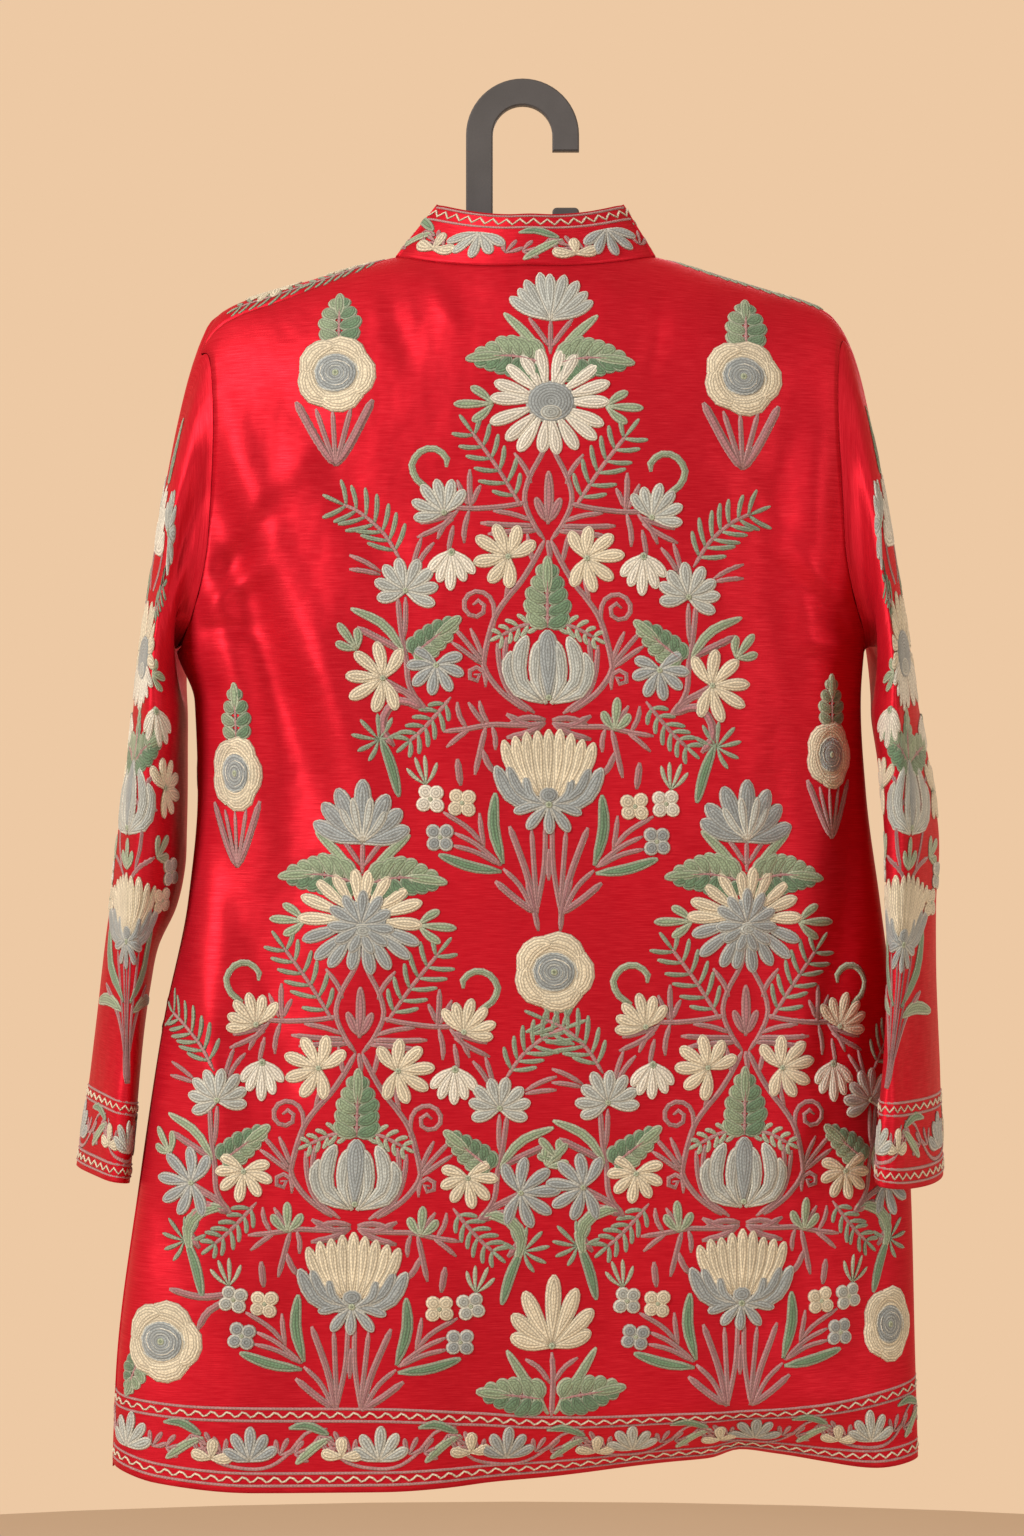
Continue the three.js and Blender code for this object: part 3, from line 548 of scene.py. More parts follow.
def panel_row(shell, side, row, column):
    """Points of a body panel along one row. side is -1 or 1 on the fronts and 0 on the back."""
    columns = BACK_COLUMNS if side == 0 else BACK_COLUMNS / 2
    way = max(0, row - BODY_ROWS) / (TOP_ROW - BODY_ROWS)
    level = mix(HEM_LEVEL, UNDERARM, min(1, row / BODY_ROWS))
    out = ARMHOLE[shell.name](way)
    left = NECK_CENTRE - out if way > 0 else BODY["left"](level)
    right = NECK_CENTRE + out if way > 0 else BODY["right"](level)
    opening = NECK_CENTRE + side * mix(FRONT_GAP_HEM, FRONT_GAP_NECK, row / TOP_ROW) / 2
    first = right if side == 1 else left
    last = opening if side else right
    share = even_share(shell, level, side, column, columns)
    x = mix(mix(first, last, share), top_place(side, column, out), smooth(way * TOP_SPACING_RATE))
    if row <= BODY_ROWS:
        hem = shell.hem(x)
        z = mix(hem, UNDERARM, row / BODY_ROWS)
        return shell.curl(shell.place(x, z, np.full_like(x, shell.sign)), z - hem, x), x, z
    if row <= ROLL_START_ROW:
        z = mix(UNDERARM, roll_start(x), (row - BODY_ROWS) / ARMHOLE_ROWS)
        return shell.place(x, z, np.full_like(x, shell.sign)), x, z
    end = top_angle(shell.name, top_place(side, column, SHOULDER_HALF))
    angle = mix(math.pi / 2, end, (row - ROLL_START_ROW) / ROLL_ROWS)
    lean, rise = shell.roll(angle)
    points = shell.place(x, ridge_height(x) + rise, lean)
    over = np.interp(-angle, -shell.roll_angles, shell.roll_lengths)
    return points, x, roll_start(x) + over


def panel_points(shell, side, rows, columns):
    """Points of a panel and, for its weave, how far each is across and up the cloth."""
    count = BACK_COLUMNS if side == 0 else BACK_COLUMNS // 2
    column = np.linspace(0, count, columns + 1)
    made = [panel_row(shell, side, row, column) for row in rows]
    return tuple(np.array(values) for values in zip(*made))


def spread_rows(rows):
    """Rows of the solids' division at which the finer cloth has its own rows, spaced evenly by length."""
    marks = (0, BODY_ROWS, ROLL_START_ROW, TOP_ROW)
    lengths = (0, UNDERARM - HEM_LEVEL, ROLL_LEVEL - HEM_LEVEL, ROLL_LEVEL - HEM_LEVEL + SHOULDER_FALL)
    return np.interp(np.linspace(0, lengths[-1], rows + 1), lengths, marks)


# ---------------------------------------------------------------- loops that sleeves and collar are sewn to
def coarse_panel(shell, side):
    """The panel divided as its solid is, with outward normals."""
    count = BACK_COLUMNS if side == 0 else BACK_COLUMNS // 2
    points, _, _ = panel_points(shell, side, range(TOP_ROW + 1), count)
    along = np.empty_like(points)
    along[:, 1:-1] = points[:, 2:] - points[:, :-2]
    along[:, 0] = points[:, 1] - points[:, 0]
    along[:, -1] = points[:, -1] - points[:, -2]
    up = np.empty_like(points)
    up[1:-1] = points[2:] - points[:-2]
    up[0] = points[1] - points[0]
    up[-1] = points[-1] - points[-2]
    outside = -1 if side < 0 else 1
    return points, unit(np.cross(along, up)) * outside


def off_seam(points, normals, closed, aims, turned):
    """Moves a loop off the panels it is sewn to, and says which way the new piece leaves the seam."""
    if closed:
        tangent = np.roll(points, -1, 0) - np.roll(points, 1, 0)
    else:
        padded = np.concatenate([points[:1], points, points[-1:]])
        tangent = padded[2:] - padded[:-2]
    tangent = unit(tangent)
    straight = unit(aims - tangent * np.sum(aims * tangent, -1, keepdims=True))
    run = unit(np.cross(tangent, normals))
    run = np.where(np.sum(run * aims, -1, keepdims=True) < 0, -run, run)
    away = unit(mix(run, straight, np.reshape(turned, (-1, 1))))
    return points + away * SEAM_GAP, away


def blend_grid(grid, rows, columns, wrap):
    """Points of a coarse grid read between its rows and columns on smooth curves. wrap is true on a tube."""

    def weights(t):
        t2, t3 = t * t, t * t * t
        return np.stack([-t3 + 2 * t2 - t, 3 * t3 - 5 * t2 + 2, -3 * t3 + 4 * t2 + t, t3 - t2], -1) / 2

    count = grid.shape[0] - 1
    around = grid.shape[1]
    r0 = np.clip(np.floor(rows).astype(int), 0, count - 1)
    c0 = np.floor(columns).astype(int)
    if not wrap:
        c0 = np.clip(c0, 0, around - 2)
    wr, wc = weights(rows - r0), weights(columns - c0)
    out = np.zeros(rows.shape + (3,))
    for i in range(4):
        r = np.clip(r0 + i - 1, 0, count)
        for j in range(4):
            c = (c0 + j - 1) % around if wrap else np.clip(c0 + j - 1, 0, around - 1)
            out += grid[r, c] * (wr[..., i] * wc[..., j])[..., None]
    return out


class Tube:
    """A sleeve: rings from the armhole to the cuff, read smoothly between them."""

    def __init__(self, name, back, fronts):
        self.side = -1 if name == "left" else 1
        loop, normals = self.armhole(name, back, fronts)
        self.grid = self.rings(name, loop, normals)
        self.count = self.grid.shape[1]
        self.last = self.grid.shape[0] - 1
        self.creases = SLEEVE_CREASES[name]
        self.measure()

    def armhole(self, name, back, fronts):
        column = 0 if name == "left" else BACK_COLUMNS
        front_points, front_normals = fronts[name]
        up = slice(BODY_ROWS, TOP_ROW + 1)
        down = slice(TOP_ROW - 1, BODY_ROWS, -1)
        points = np.concatenate([back[0][up, column], front_points[down, 0]])
        normals = np.concatenate([back[1][up, column], front_normals[down, 0]])
        return points, normals

    def ring(self, rows, z, count):
        angle = 2 * math.pi * np.arange(count) / count
        wide, deep = rows["wide"](z), rows["deep"](z)
        across = -wide * signed_power(np.cos(angle), 2 / SLEEVE_SQUARE) * self.side
        along = -deep * signed_power(np.sin(angle), 2 / SLEEVE_SQUARE)
        lift = across * self.side * rows["slant"](z) / (2 * wide)
        turn = math.radians(rows["turn"](z))
        x = rows["x"](z) + across * math.cos(turn) - along * math.sin(turn)
        y = rows["y"](z) + across * math.sin(turn) + along * math.cos(turn)
        return np.stack([x, y, z + lift], -1)

    def rings(self, name, loop, normals):
        rows = SLEEVES[name]
        top, cuff = SLEEVE_ENDS[name]
        count = len(loop)
        high = (1 - np.cos(2 * math.pi * np.arange(count) / count)) / 2
        aims = np.tile([self.side, 0.0, 0.0], (count, 1))
        start, away = off_seam(loop, normals, True, aims, 1 - high)
        first = self.ring(rows, top, count)
        below = unit(self.ring(rows, top - 10, count) - first)
        leave = away * mix(SLEEVE_LEAVES_UNDERARM, SLEEVE_LEAVES_SHOULDER, high)[:, None]
        leave[:, 2] += SLEEVE_ARCH * (1 - high) ** 3
        drop = np.linalg.norm(start - first, axis=1)
        arrive = below * np.minimum(SLEEVE_FALLS, drop * SLEEVE_FALLS_SHARE)[:, None]
        rings = [start]
        for i in range(1, SLEEVE_HEAD_RINGS):
            t = (i / SLEEVE_HEAD_RINGS) ** SLEEVE_RINGS_CROWD
            t2, t3 = t * t, t * t * t
            rings.append(
                start * (2 * t3 - 3 * t2 + 1)
                + leave * (t3 - 2 * t2 + t)
                + first * (3 * t2 - 2 * t3)
                + arrive * (t3 - t2)
            )
        for z in np.linspace(top, cuff, SLEEVE_ARM_RINGS + 1):
            rings.append(self.ring(rows, z, count))
        return np.array(rings)

    def measure(self):
        """Length of cloth down the sleeve by ring, and round each ring."""
        self.middles = self.grid.mean(axis=1)
        self.down = run_of(self.middles)
        closed = np.concatenate([self.grid, self.grid[:, :1]], axis=1)
        self.around = np.linalg.norm(np.diff(closed, axis=1), axis=2).sum(axis=1)

    def outwards(self, point):
        """Level direction from the sleeve's middle line to a point on it."""
        nearest = self.middles[np.argmin(np.abs(self.middles[:, 2] - point[2]))]
        return unit((point - nearest) * np.array([1, 1, 0]))

    def relief(self, ring, turn):
        """Height of the creases, by share of the way round from the inner side and by length down."""
        length = np.interp(ring, np.arange(self.last + 1), self.down)
        out = np.zeros(np.shape(ring))
        for start, from_length, end, to_length, wide, height in self.creases:
            along = (length - from_length) / (to_length - from_length)
            middle = mix(start, end, np.clip(along, 0, 1))
            off = (turn - middle + 0.5) % 1 - 0.5
            away = off * SLEEVE_TURN / wide
            out += height * smooth(along * 4) * smooth((1 - along) * 4) * np.exp(-away * away)
        return out

    def place(self, turn, ring):
        """A point by share of the way round and by ring, with its normal."""
        turn, ring = np.broadcast_arrays(np.asarray(turn, float), np.asarray(ring, float))
        columns = turn * self.count
        points = blend_grid(self.grid, ring, columns, True)

        def read(ring, columns):
            return blend_grid(self.grid, np.clip(ring, 0, self.last), columns, True)

        around = read(ring, columns + NORMAL_STEP) - read(ring, columns - NORMAL_STEP)
        down = read(ring + NORMAL_STEP, columns) - read(ring - NORMAL_STEP, columns)
        normals = unit(np.cross(down, around)) * self.side
        relief = self.relief(ring, turn)[..., None]
        return points + normals * relief, normals

    def with_normals(self, side, height):
        """A point of the flat cloth: mm round from its outer line, and minus the mm from its head."""
        ring = np.interp(-height, self.down, np.arange(self.last + 1))
        around = np.interp(ring, np.arange(self.last + 1), self.around)
        turn = 0.5 - side / around
        return self.place(turn, ring)


# Creases of the sleeves: share of the way round and length down at both ends, half width, how far out.
SLEEVE_CREASES = {
    "left": (
        (0.30, 60, 0.42, 230, 12, -4.1),
        (0.12, 120, 0.30, 320, 11, 3.4),
        (0.40, 260, 0.30, 420, 11, -3.1),
        (0.62, 90, 0.55, 300, 12, 3.1),
        (0.80, 160, 0.70, 380, 12, -3.4),
        (0.25, 380, 0.34, 540, 11, 2.7),
        (0.70, 360, 0.78, 540, 11, 2.7),
    ),
    "right": (
        (0.30, 60, 0.40, 240, 12, -4.1),
        (0.14, 130, 0.26, 330, 11, 3.4),
        (0.42, 280, 0.34, 430, 11, -3.1),
        (0.64, 90, 0.58, 300, 12, 3.1),
        (0.82, 160, 0.72, 380, 12, -3.4),
        (0.25, 390, 0.36, 545, 11, 2.9),
        (0.72, 360, 0.80, 545, 11, 2.7),
    ),
}


class Band:
    """The stand collar: rows from the neck seam up, along the neck from its left front to its right front."""

    def __init__(self, back, fronts):
        neck = slice(SHOULDER_COLUMNS, SHOULDER_COLUMNS + NECK_COLUMNS + 1)
        left = slice(SHOULDER_COLUMNS + NECK_COLUMNS // 2, SHOULDER_COLUMNS, -1)
        right = slice(SHOULDER_COLUMNS + 1, SHOULDER_COLUMNS + NECK_COLUMNS // 2 + 1)
        loops = []
        for part in (0, 1):
            edges = [grids[part][TOP_ROW] for grids in (fronts["left"], back, fronts["right"])]
            loops.append(np.concatenate([edges[0][left], edges[1][neck], edges[2][right]]))
        aims = np.stack([-loops[0][:, 0], -loops[0][:, 1], np.full(len(loops[0]), float(COLLAR_AIM))], -1)
        seam, _ = off_seam(loops[0], loops[1], False, aims, np.full(len(aims), COLLAR_TURNED))
        rows = []
        for t in np.linspace(0, 1, COLLAR_ROWS + 1):
            row = seam.copy()
            row[:, 0] = (seam[:, 0] - NECK_CENTRE) * mix(1, COLLAR_TOP_SHARE, t)
            row[:, 0] += NECK_CENTRE + COLLAR_TOP_SHIFT * t
            row[:, 1] = seam[:, 1] * mix(1, COLLAR_TOP_DEPTH_SHARE, t)
            row[:, 2] = seam[:, 2] + COLLAR_HEIGHT * t
            rows.append(row)
        self.grid = np.array(rows)
        self.run = run_of(self.grid[COLLAR_ROWS // 2])
        self.run -= self.run[-1] / 2
        self.tall = float(np.linalg.norm(self.grid[-1] - self.grid[0], axis=1).mean())

    def place(self, column, row):
        """A point by column along the neck and by row up, with its normal."""
        last = self.grid.shape[1] - 1

        def read(column, row):
            return blend_grid(self.grid, np.clip(row, 0, COLLAR_ROWS), np.clip(column, 0, last), False)

        along = read(column + NORMAL_STEP, row) - read(column - NORMAL_STEP, row)
        up = read(column, row + NORMAL_STEP) - read(column, row - NORMAL_STEP)
        return read(column, row), unit(np.cross(along, up))

    def with_normals(self, side, height):
        """A point of the flat collar: mm from its middle at the back, and mm up from its seam."""
        column = np.interp(side, self.run, np.arange(len(self.run)))
        row = np.clip(height / self.tall, 0, 1) * COLLAR_ROWS
        return self.place(column, row)


# ---------------------------------------------------------------- meshes
def grid_mesh(name, points, across, up, wrap=False):
    """A sheet of quads through rows of points in mm, with its weave's mm across and up as a UV map."""
    rows, columns = points.shape[0] - 1, points.shape[1] - 1
    mesh_maker = bmesh.new()
    uv = mesh_maker.loops.layers.uv.new("weave")
    bmesh.ops.create_grid(mesh_maker, x_segments=columns, y_segments=rows, size=0.5)
    mesh_maker.verts.ensure_lookup_table()
    flat_places = {}
    for vert in mesh_maker.verts:
        column = round((vert.co.x + 0.5) * columns)
        row = round((vert.co.y + 0.5) * rows)
        flat_places[vert] = (across[row, column] * MM, up[row, column] * MM)
        vert.co = Vector(points[row, column] * MM)
    for face in mesh_maker.faces:
        for loop in face.loops:
            loop[uv].uv = flat_places[loop.vert]
    if wrap:
        bmesh.ops.remove_doubles(mesh_maker, verts=mesh_maker.verts, dist=0.00001)
    mesh = bpy.data.meshes.new(name)
    mesh_maker.to_mesh(mesh)
    mesh_maker.free()
    mesh.shade_smooth()
    return mesh


def link(name, data):
    """An object in the scene for a mesh, a lamp or a camera."""
    made = bpy.data.objects.new(name, data)
    bpy.context.scene.collection.objects.link(made)
    return made


def cloth_piece(name, node_name, surface, outwards, flat, rests_on, wrap=False):
    """A thin shell of silk that replaces a node: a sheet facing outwards, given its thickness inwards.
    surface is its points and how far each is across and up the cloth."""
    mesh = grid_mesh(name, *surface, wrap)
    polygon = mesh.polygons[len(mesh.polygons) // 2]
    if polygon.normal.dot(Vector(outwards(np.array(polygon.center) / MM))) < 0:
        mesh.flip_normals()
    mesh.materials.append(material_of(silk_material))
    piece = link(name, mesh)
    wall = piece.modifiers.new("Wall", "SOLIDIFY")
    wall.thickness = settings().sizes.cloth
    wall.offset = -1
    ship(piece, "silk", node_name)


def ship(piece, slot_name, *nodes):
    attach(piece, ROOT)
    if nodes:
        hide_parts(*nodes)


# ---------------------------------------------------------------- materials
def start_material(name):
    material = bpy.data.materials.new(name)
    material.use_nodes = True
    return material, material.node_tree, material.node_tree.nodes["Principled BSDF"]


def fill(tree, made, inputs):
    """Sets or links a node's inputs by name, or by number as i0, i1 and so on."""
    for key, value in inputs.items():
        socket = made.inputs[int(key[1:]) if key[1:].isdigit() else key.replace("_", " ")]
        if isinstance(value, bpy.types.NodeSocket):
            tree.links.new(value, socket)
        else:
            socket.default_value = value


def node(tree, kind, settings_of_node=None, output=0, **inputs):
    """Adds a node, sets its properties and its inputs, and gives one of its outputs."""
    made = tree.nodes.new(kind)
    for key, value in (settings_of_node or {}).items():
        setattr(made, key, value)
    fill(tree, made, inputs)
    return made.outputs[output]


def calculate(tree, operation, *values):
    inputs = {f"i{place}": value for place, value in enumerate(values)}
    return node(tree, "ShaderNodeMath", {"operation": operation}, **inputs)


def scaled(tree, place, scale):
    return node(tree, "ShaderNodeMapping", Vector=place, Scale=scale)


def flat_noise(tree, place, scale, **inputs):
    """Noise over the flat cloth, with its scales across and up it."""
    place = scaled(tree, place, (*scale, 1))
    return node(tree, "ShaderNodeTexNoise", {"noise_dimensions": "2D"}, Vector=place, Scale=1.0, **inputs)


def ranged(tree, value, to_low, to_high, from_low=0.0, from_high=1.0):
    """A value carried from one range to another."""
    inputs = {"From Min": from_low, "From Max": from_high, "To Min": to_low, "To Max": to_high}
    return node(tree, "ShaderNodeMapRange", Value=value, **inputs)


def mixed(tree, share, first, second):
    return node(tree, "ShaderNodeMix", {"data_type": "RGBA"}, 2, i0=share, i6=first, i7=second)


def toned(tree, colour, value):
    """A colour made darker or lighter."""
    return node(tree, "ShaderNodeHueSaturation", Color=colour, Value=value)


def bumped(tree, height, strength, distance, **inputs):
    return node(tree, "ShaderNodeBump", Height=height, Strength=strength, Distance=distance, **inputs)


def rgba(colour, gain=1.0):
    return (colour[0] * gain, colour[1] * gain, colour[2] * gain, 1.0)


SLUB_LENGTH = 0.016
SLUB_HEIGHT = 0.00055
# The real cloth has about 40 threads to the centimetre; drawn three times as coarse, so that they show.
THREAD_SIZE = 0.0008


def silk_material():
    """Dupion silk: hand-woven, with thick and thin weft threads. They draw fine level streaks in colour
    and gloss, and the smooth filament gives the broad, soft sheen."""
    material, tree, shader = start_material("dupion_silk")
    colours = settings().colours
    place = node(tree, "ShaderNodeUVMap", {"uv_map": "weave"})
    slubs = flat_noise(tree, place, (1 / SLUB_LENGTH, 1 / SLUB_HEIGHT), Detail=4.0, Roughness=0.62)
    streaks = mixed(tree, ranged(tree, slubs, 0, 1, 0.4, 0.78), rgba(colours.silk, 0.9), rgba(colours.slub))
    cloudy = flat_noise(tree, place, (11, 6), Detail=2.0)
    waves = {"wave_type": "BANDS", "bands_direction": "Y", "wave_profile": "SIN"}
    threads = scaled(tree, place, (1 / THREAD_SIZE,) * 3)
    uneven = {"Scale": 0.05, "Distortion": 1.2, "Detail": 2.0, "Detail Scale": 0.6}
    warp = node(tree, "ShaderNodeTexWave", waves, 1, Vector=threads, **uneven)
    weave = bumped(tree, calculate(tree, "MULTIPLY_ADD", warp, 0.25, slubs), 0.25, 0.0003)
    crumple = flat_noise(tree, place, (17, 13), Detail=3.0, Roughness=0.45)
    finish = {
        "Base Color": toned(tree, streaks, ranged(tree, cloudy, 0.9, 1.06, 0.3, 0.7)),
        "Roughness": ranged(tree, slubs, 0.58, 0.46),
        # Light leaves dyed filament with the dye's colour, which a part of metallic reflection stands for.
        "Metallic": 0.5,
        "IOR": 1.54,
        "Specular IOR Level": 0.2,
        "Specular Tint": (1.0, 0.5, 0.5, 1.0),
        "Normal": bumped(tree, crumple, 0.34, 0.012, Normal=weave),
    }
    fill(tree, shader, finish)
    return material


def wool_material():
    """Crewel wool and silk floss in chain stitch: rows of small interlocked loops, matt, and a little uneven
    where the dye took differently from skein to skein."""
    material, tree, shader = start_material("chain_stitched_wool")
    sizes = settings().sizes
    place = node(tree, "ShaderNodeUVMap", {"uv_map": "thread"})
    along = node(tree, "ShaderNodeSeparateXYZ", Vector=place)
    across = along.node.outputs[1]
    rows = calculate(tree, "DIVIDE", across, sizes.chain_row)
    row_number = calculate(tree, "FLOOR", rows)
    in_row = calculate(tree, "SUBTRACT", calculate(tree, "FRACT", rows), 0.5)
    from_middle = calculate(tree, "ABSOLUTE", in_row)
    links = calculate(tree, "DIVIDE", along, sizes.chain_link)
    shifted = calculate(tree, "MULTIPLY_ADD", row_number, 0.37, links)
    slanted = calculate(tree, "MULTIPLY_ADD", from_middle, -0.9, shifted)
    in_link = calculate(tree, "MULTIPLY", calculate(tree, "FRACT", slanted), math.pi)
    swell = calculate(tree, "MULTIPLY_ADD", calculate(tree, "SINE", in_link), 0.5, 0.5)
    fall = calculate(tree, "MULTIPLY", calculate(tree, "POWER", from_middle, 2.0), 3.4)
    height = calculate(tree, "MULTIPLY", calculate(tree, "SUBTRACT", 1.0, fall), swell)
    edge, core = (
        node(tree, "ShaderNodeAttribute", {"attribute_name": name}) for name in ("dye_edge", "dye_core")
    )
    dye = mixed(tree, calculate(tree, "MINIMUM", row_number, 1.0), edge, core)
    # Painted shade and highlight: the wool's colour is darkened in the grooves between rows and links and
    # lightened on the loops' crests.
    painted_loop_shade = ranged(tree, height, 0.52, 1.18, 0.1, 0.95)
    tint = ranged(tree, flat_noise(tree, place, (160, 520), Detail=3.0), 0.86, 1.12, 0.3, 0.7)
    finish = {
        "Base Color": toned(tree, dye, calculate(tree, "MULTIPLY", painted_loop_shade, tint)),
        "Roughness": 0.78,
        "Sheen Weight": 0.25,
        "Sheen Roughness": 0.6,
        "Normal": bumped(tree, height, 0.8, 0.0006),
    }
    fill(tree, shader, finish)
    return material


def plastic_material():
    """Moulded polypropylene: a fine spark-eroded grain on the flats, and broad parts a little lighter or
    darker."""
    material, tree, shader = start_material("moulded_plastic")
    place = node(tree, "ShaderNodeTexCoord", None, "Object")
    grain = node(tree, "ShaderNodeTexNoise", Vector=place, Scale=900.0, Detail=3.0)
    cloudy = node(tree, "ShaderNodeTexNoise", Vector=place, Scale=28.0, Detail=2.0)
    shade = ranged(tree, cloudy, 0.85, 1.15, 0.3, 0.7)
    finish = {
        "Base Color": toned(tree, rgba(settings().colours.plastic), shade),
        "Roughness": ranged(tree, grain, 0.42, 0.62),
        "Normal": bumped(tree, grain, 0.25, 0.0002),
    }
    fill(tree, shader, finish)
    return material


def floor_material():
    """Seamless studio paper: matt and very slightly mottled."""
    material, tree, shader = start_material("studio_paper")
    place = node(tree, "ShaderNodeTexCoord", None, "Object")
    mottle = ranged(tree, node(tree, "ShaderNodeTexNoise", Vector=place, Scale=3.0, Detail=3.0), 0.97, 1.03)
    fill(tree, shader, {"Base Color": toned(tree, rgba(settings().colours.floor), mottle), "Roughness": 0.9})
    return material


MADE_MATERIALS = {}


def material_of(maker):
    """A material that several pieces share, made once."""
    if maker not in MADE_MATERIALS:
        MADE_MATERIALS[maker] = maker()
    return MADE_MATERIALS[maker]


# ---------------------------------------------------------------- the drape, worked out once
class Garment:
    """Shells, sleeves and collar as surfaces that cloth and embroidery are laid on."""

    def __init__(self):
        self.back = Shell("back")
        self.front = Shell("front")
        coarse_back = coarse_panel(self.back, 0)
        coarse_fronts = {"left": coarse_panel(self.front, -1), "right": coarse_panel(self.front, 1)}
        self.sleeves = {name: Tube(name, coarse_back, coarse_fronts) for name in ("left", "right")}
        self.collar = Band(coarse_back, coarse_fronts)


GARMENT = Garment()


# ---------------------------------------------------------------- embroidery: shapes of chain stitch
# Outline of each kind of stitched shape: share of its length from root to tip, and share of its half width.
OUTLINES = {
    "stem": Curve((0, 0.03, 0.5, 0.97, 1), (0.5, 0.95, 1, 0.95, 0.5)),
    "petal": Curve((0, 0.15, 0.35, 0.55, 0.72, 0.86, 0.95, 1), (0.3, 0.5, 0.78, 0.96, 1, 0.86, 0.6, 0.22)),
    "leaf": Curve((0, 0.12, 0.35, 0.6, 0.85, 0.95, 1), (0.3, 0.66, 0.97, 1, 0.78, 0.55, 0.25)),
    "leaflet": Curve((0, 0.2, 0.6, 0.9, 1), (0.6, 0.85, 1, 0.85, 0.4)),
}
NARROW_SECTION = ((-1, 0), (0, 1), (1, 0))
WIDE_SECTION = ((-1, 0), (-0.72, 0.82), (0, 1), (0.72, 0.82), (1, 0))
DISC_SECTION = ((1, 0), (0.84, 0.8), (0.45, 1))
WIDE_FROM = 2.7  # half width from which a shape gets the wide section
BURIED = 0.15  # how deep a shape's edges sit in the cloth
END_HEIGHT = 0.45
STEM_STEP = 5.0
SMOOTH_STEPS = 12
UNEVEN_LIFT = 0.12
DYE_FROM, DYE_TO = 0.92, 1.07

# How much each layer of stitching lies on the one before.
STEM_LEVEL, LEAF_LEVEL, PETAL_LEVEL, TOP_LEVEL = 0.0, 0.12, 0.42, 0.68

# How far the outer row of a shape is paler than its wool, towards cream.
PALER_EDGE = {
    "cream": 0.0,
    "white": 0.35,
    "grey": 0.4,
    "blue_grey": 0.3,
    "leaf": 0.24,
    "dark_leaf": 0.2,
    "mauve": 0.08,
}


def smooth_line(knots):
    """Many points of a smooth curve through a few knots, and the length of the curve up to each."""
    knots = np.asarray(knots, float)
    padded = np.concatenate([2 * knots[:1] - knots[1:2], knots, 2 * knots[-1:] - knots[-2:-1]])
    t = np.linspace(0, len(knots) - 1, SMOOTH_STEPS * (len(knots) - 1) + 1)
    i = np.minimum(t.astype(int), len(knots) - 2)
    f = (t - i)[:, None]
    a, b, c, d = padded[i], padded[i + 1], padded[i + 2], padded[i + 3]
    dense = b + (c - a) * f / 2 + (a - 2.5 * b + 2 * c - d / 2) * f**2 + (1.5 * (b - c) + (d - a) / 2) * f**3
    return dense, run_of(dense)


def read_line(dense, run, shares):
    """Points at shares of a line's length."""
    wanted = np.asarray(shares) * run[-1]
    return np.stack([np.interp(wanted, run, dense[:, k]) for k in (0, 1)], -1)


def along_line(knots, *shares):
    """Points at shares of the length of a smooth curve through a few knots."""
    return read_line(*smooth_line(knots), shares)


class Spot:
    """Where a motif sits on the flat cloth: mm to the side, height, clockwise turn in degrees, mirrored or
    not, and its scale. Inside it x is to the right and y the way it grows, in mm."""

    def __init__(self, side, height, turn=0.0, flip=1, wide=1.0, tall=1.0, parent=None):
        angle = math.radians(turn)
        spin = np.array([[math.cos(angle), math.sin(angle)], [-math.sin(angle), math.cos(angle)]])
        axes = spin @ np.diag([flip * wide, tall])
        root = np.array([side, height], float)
        self.root = parent(root) if parent else root
        self.axes = parent.axes @ axes if parent else axes
        self.size = math.sqrt(abs(np.linalg.det(self.axes)))

    def __call__(self, points):
        return self.root + np.asarray(points, float) @ self.axes.T

    def inside(self, x, y, turn=0.0, flip=1, size=1.0):
        return Spot(x, y, turn, flip, size, size, self)


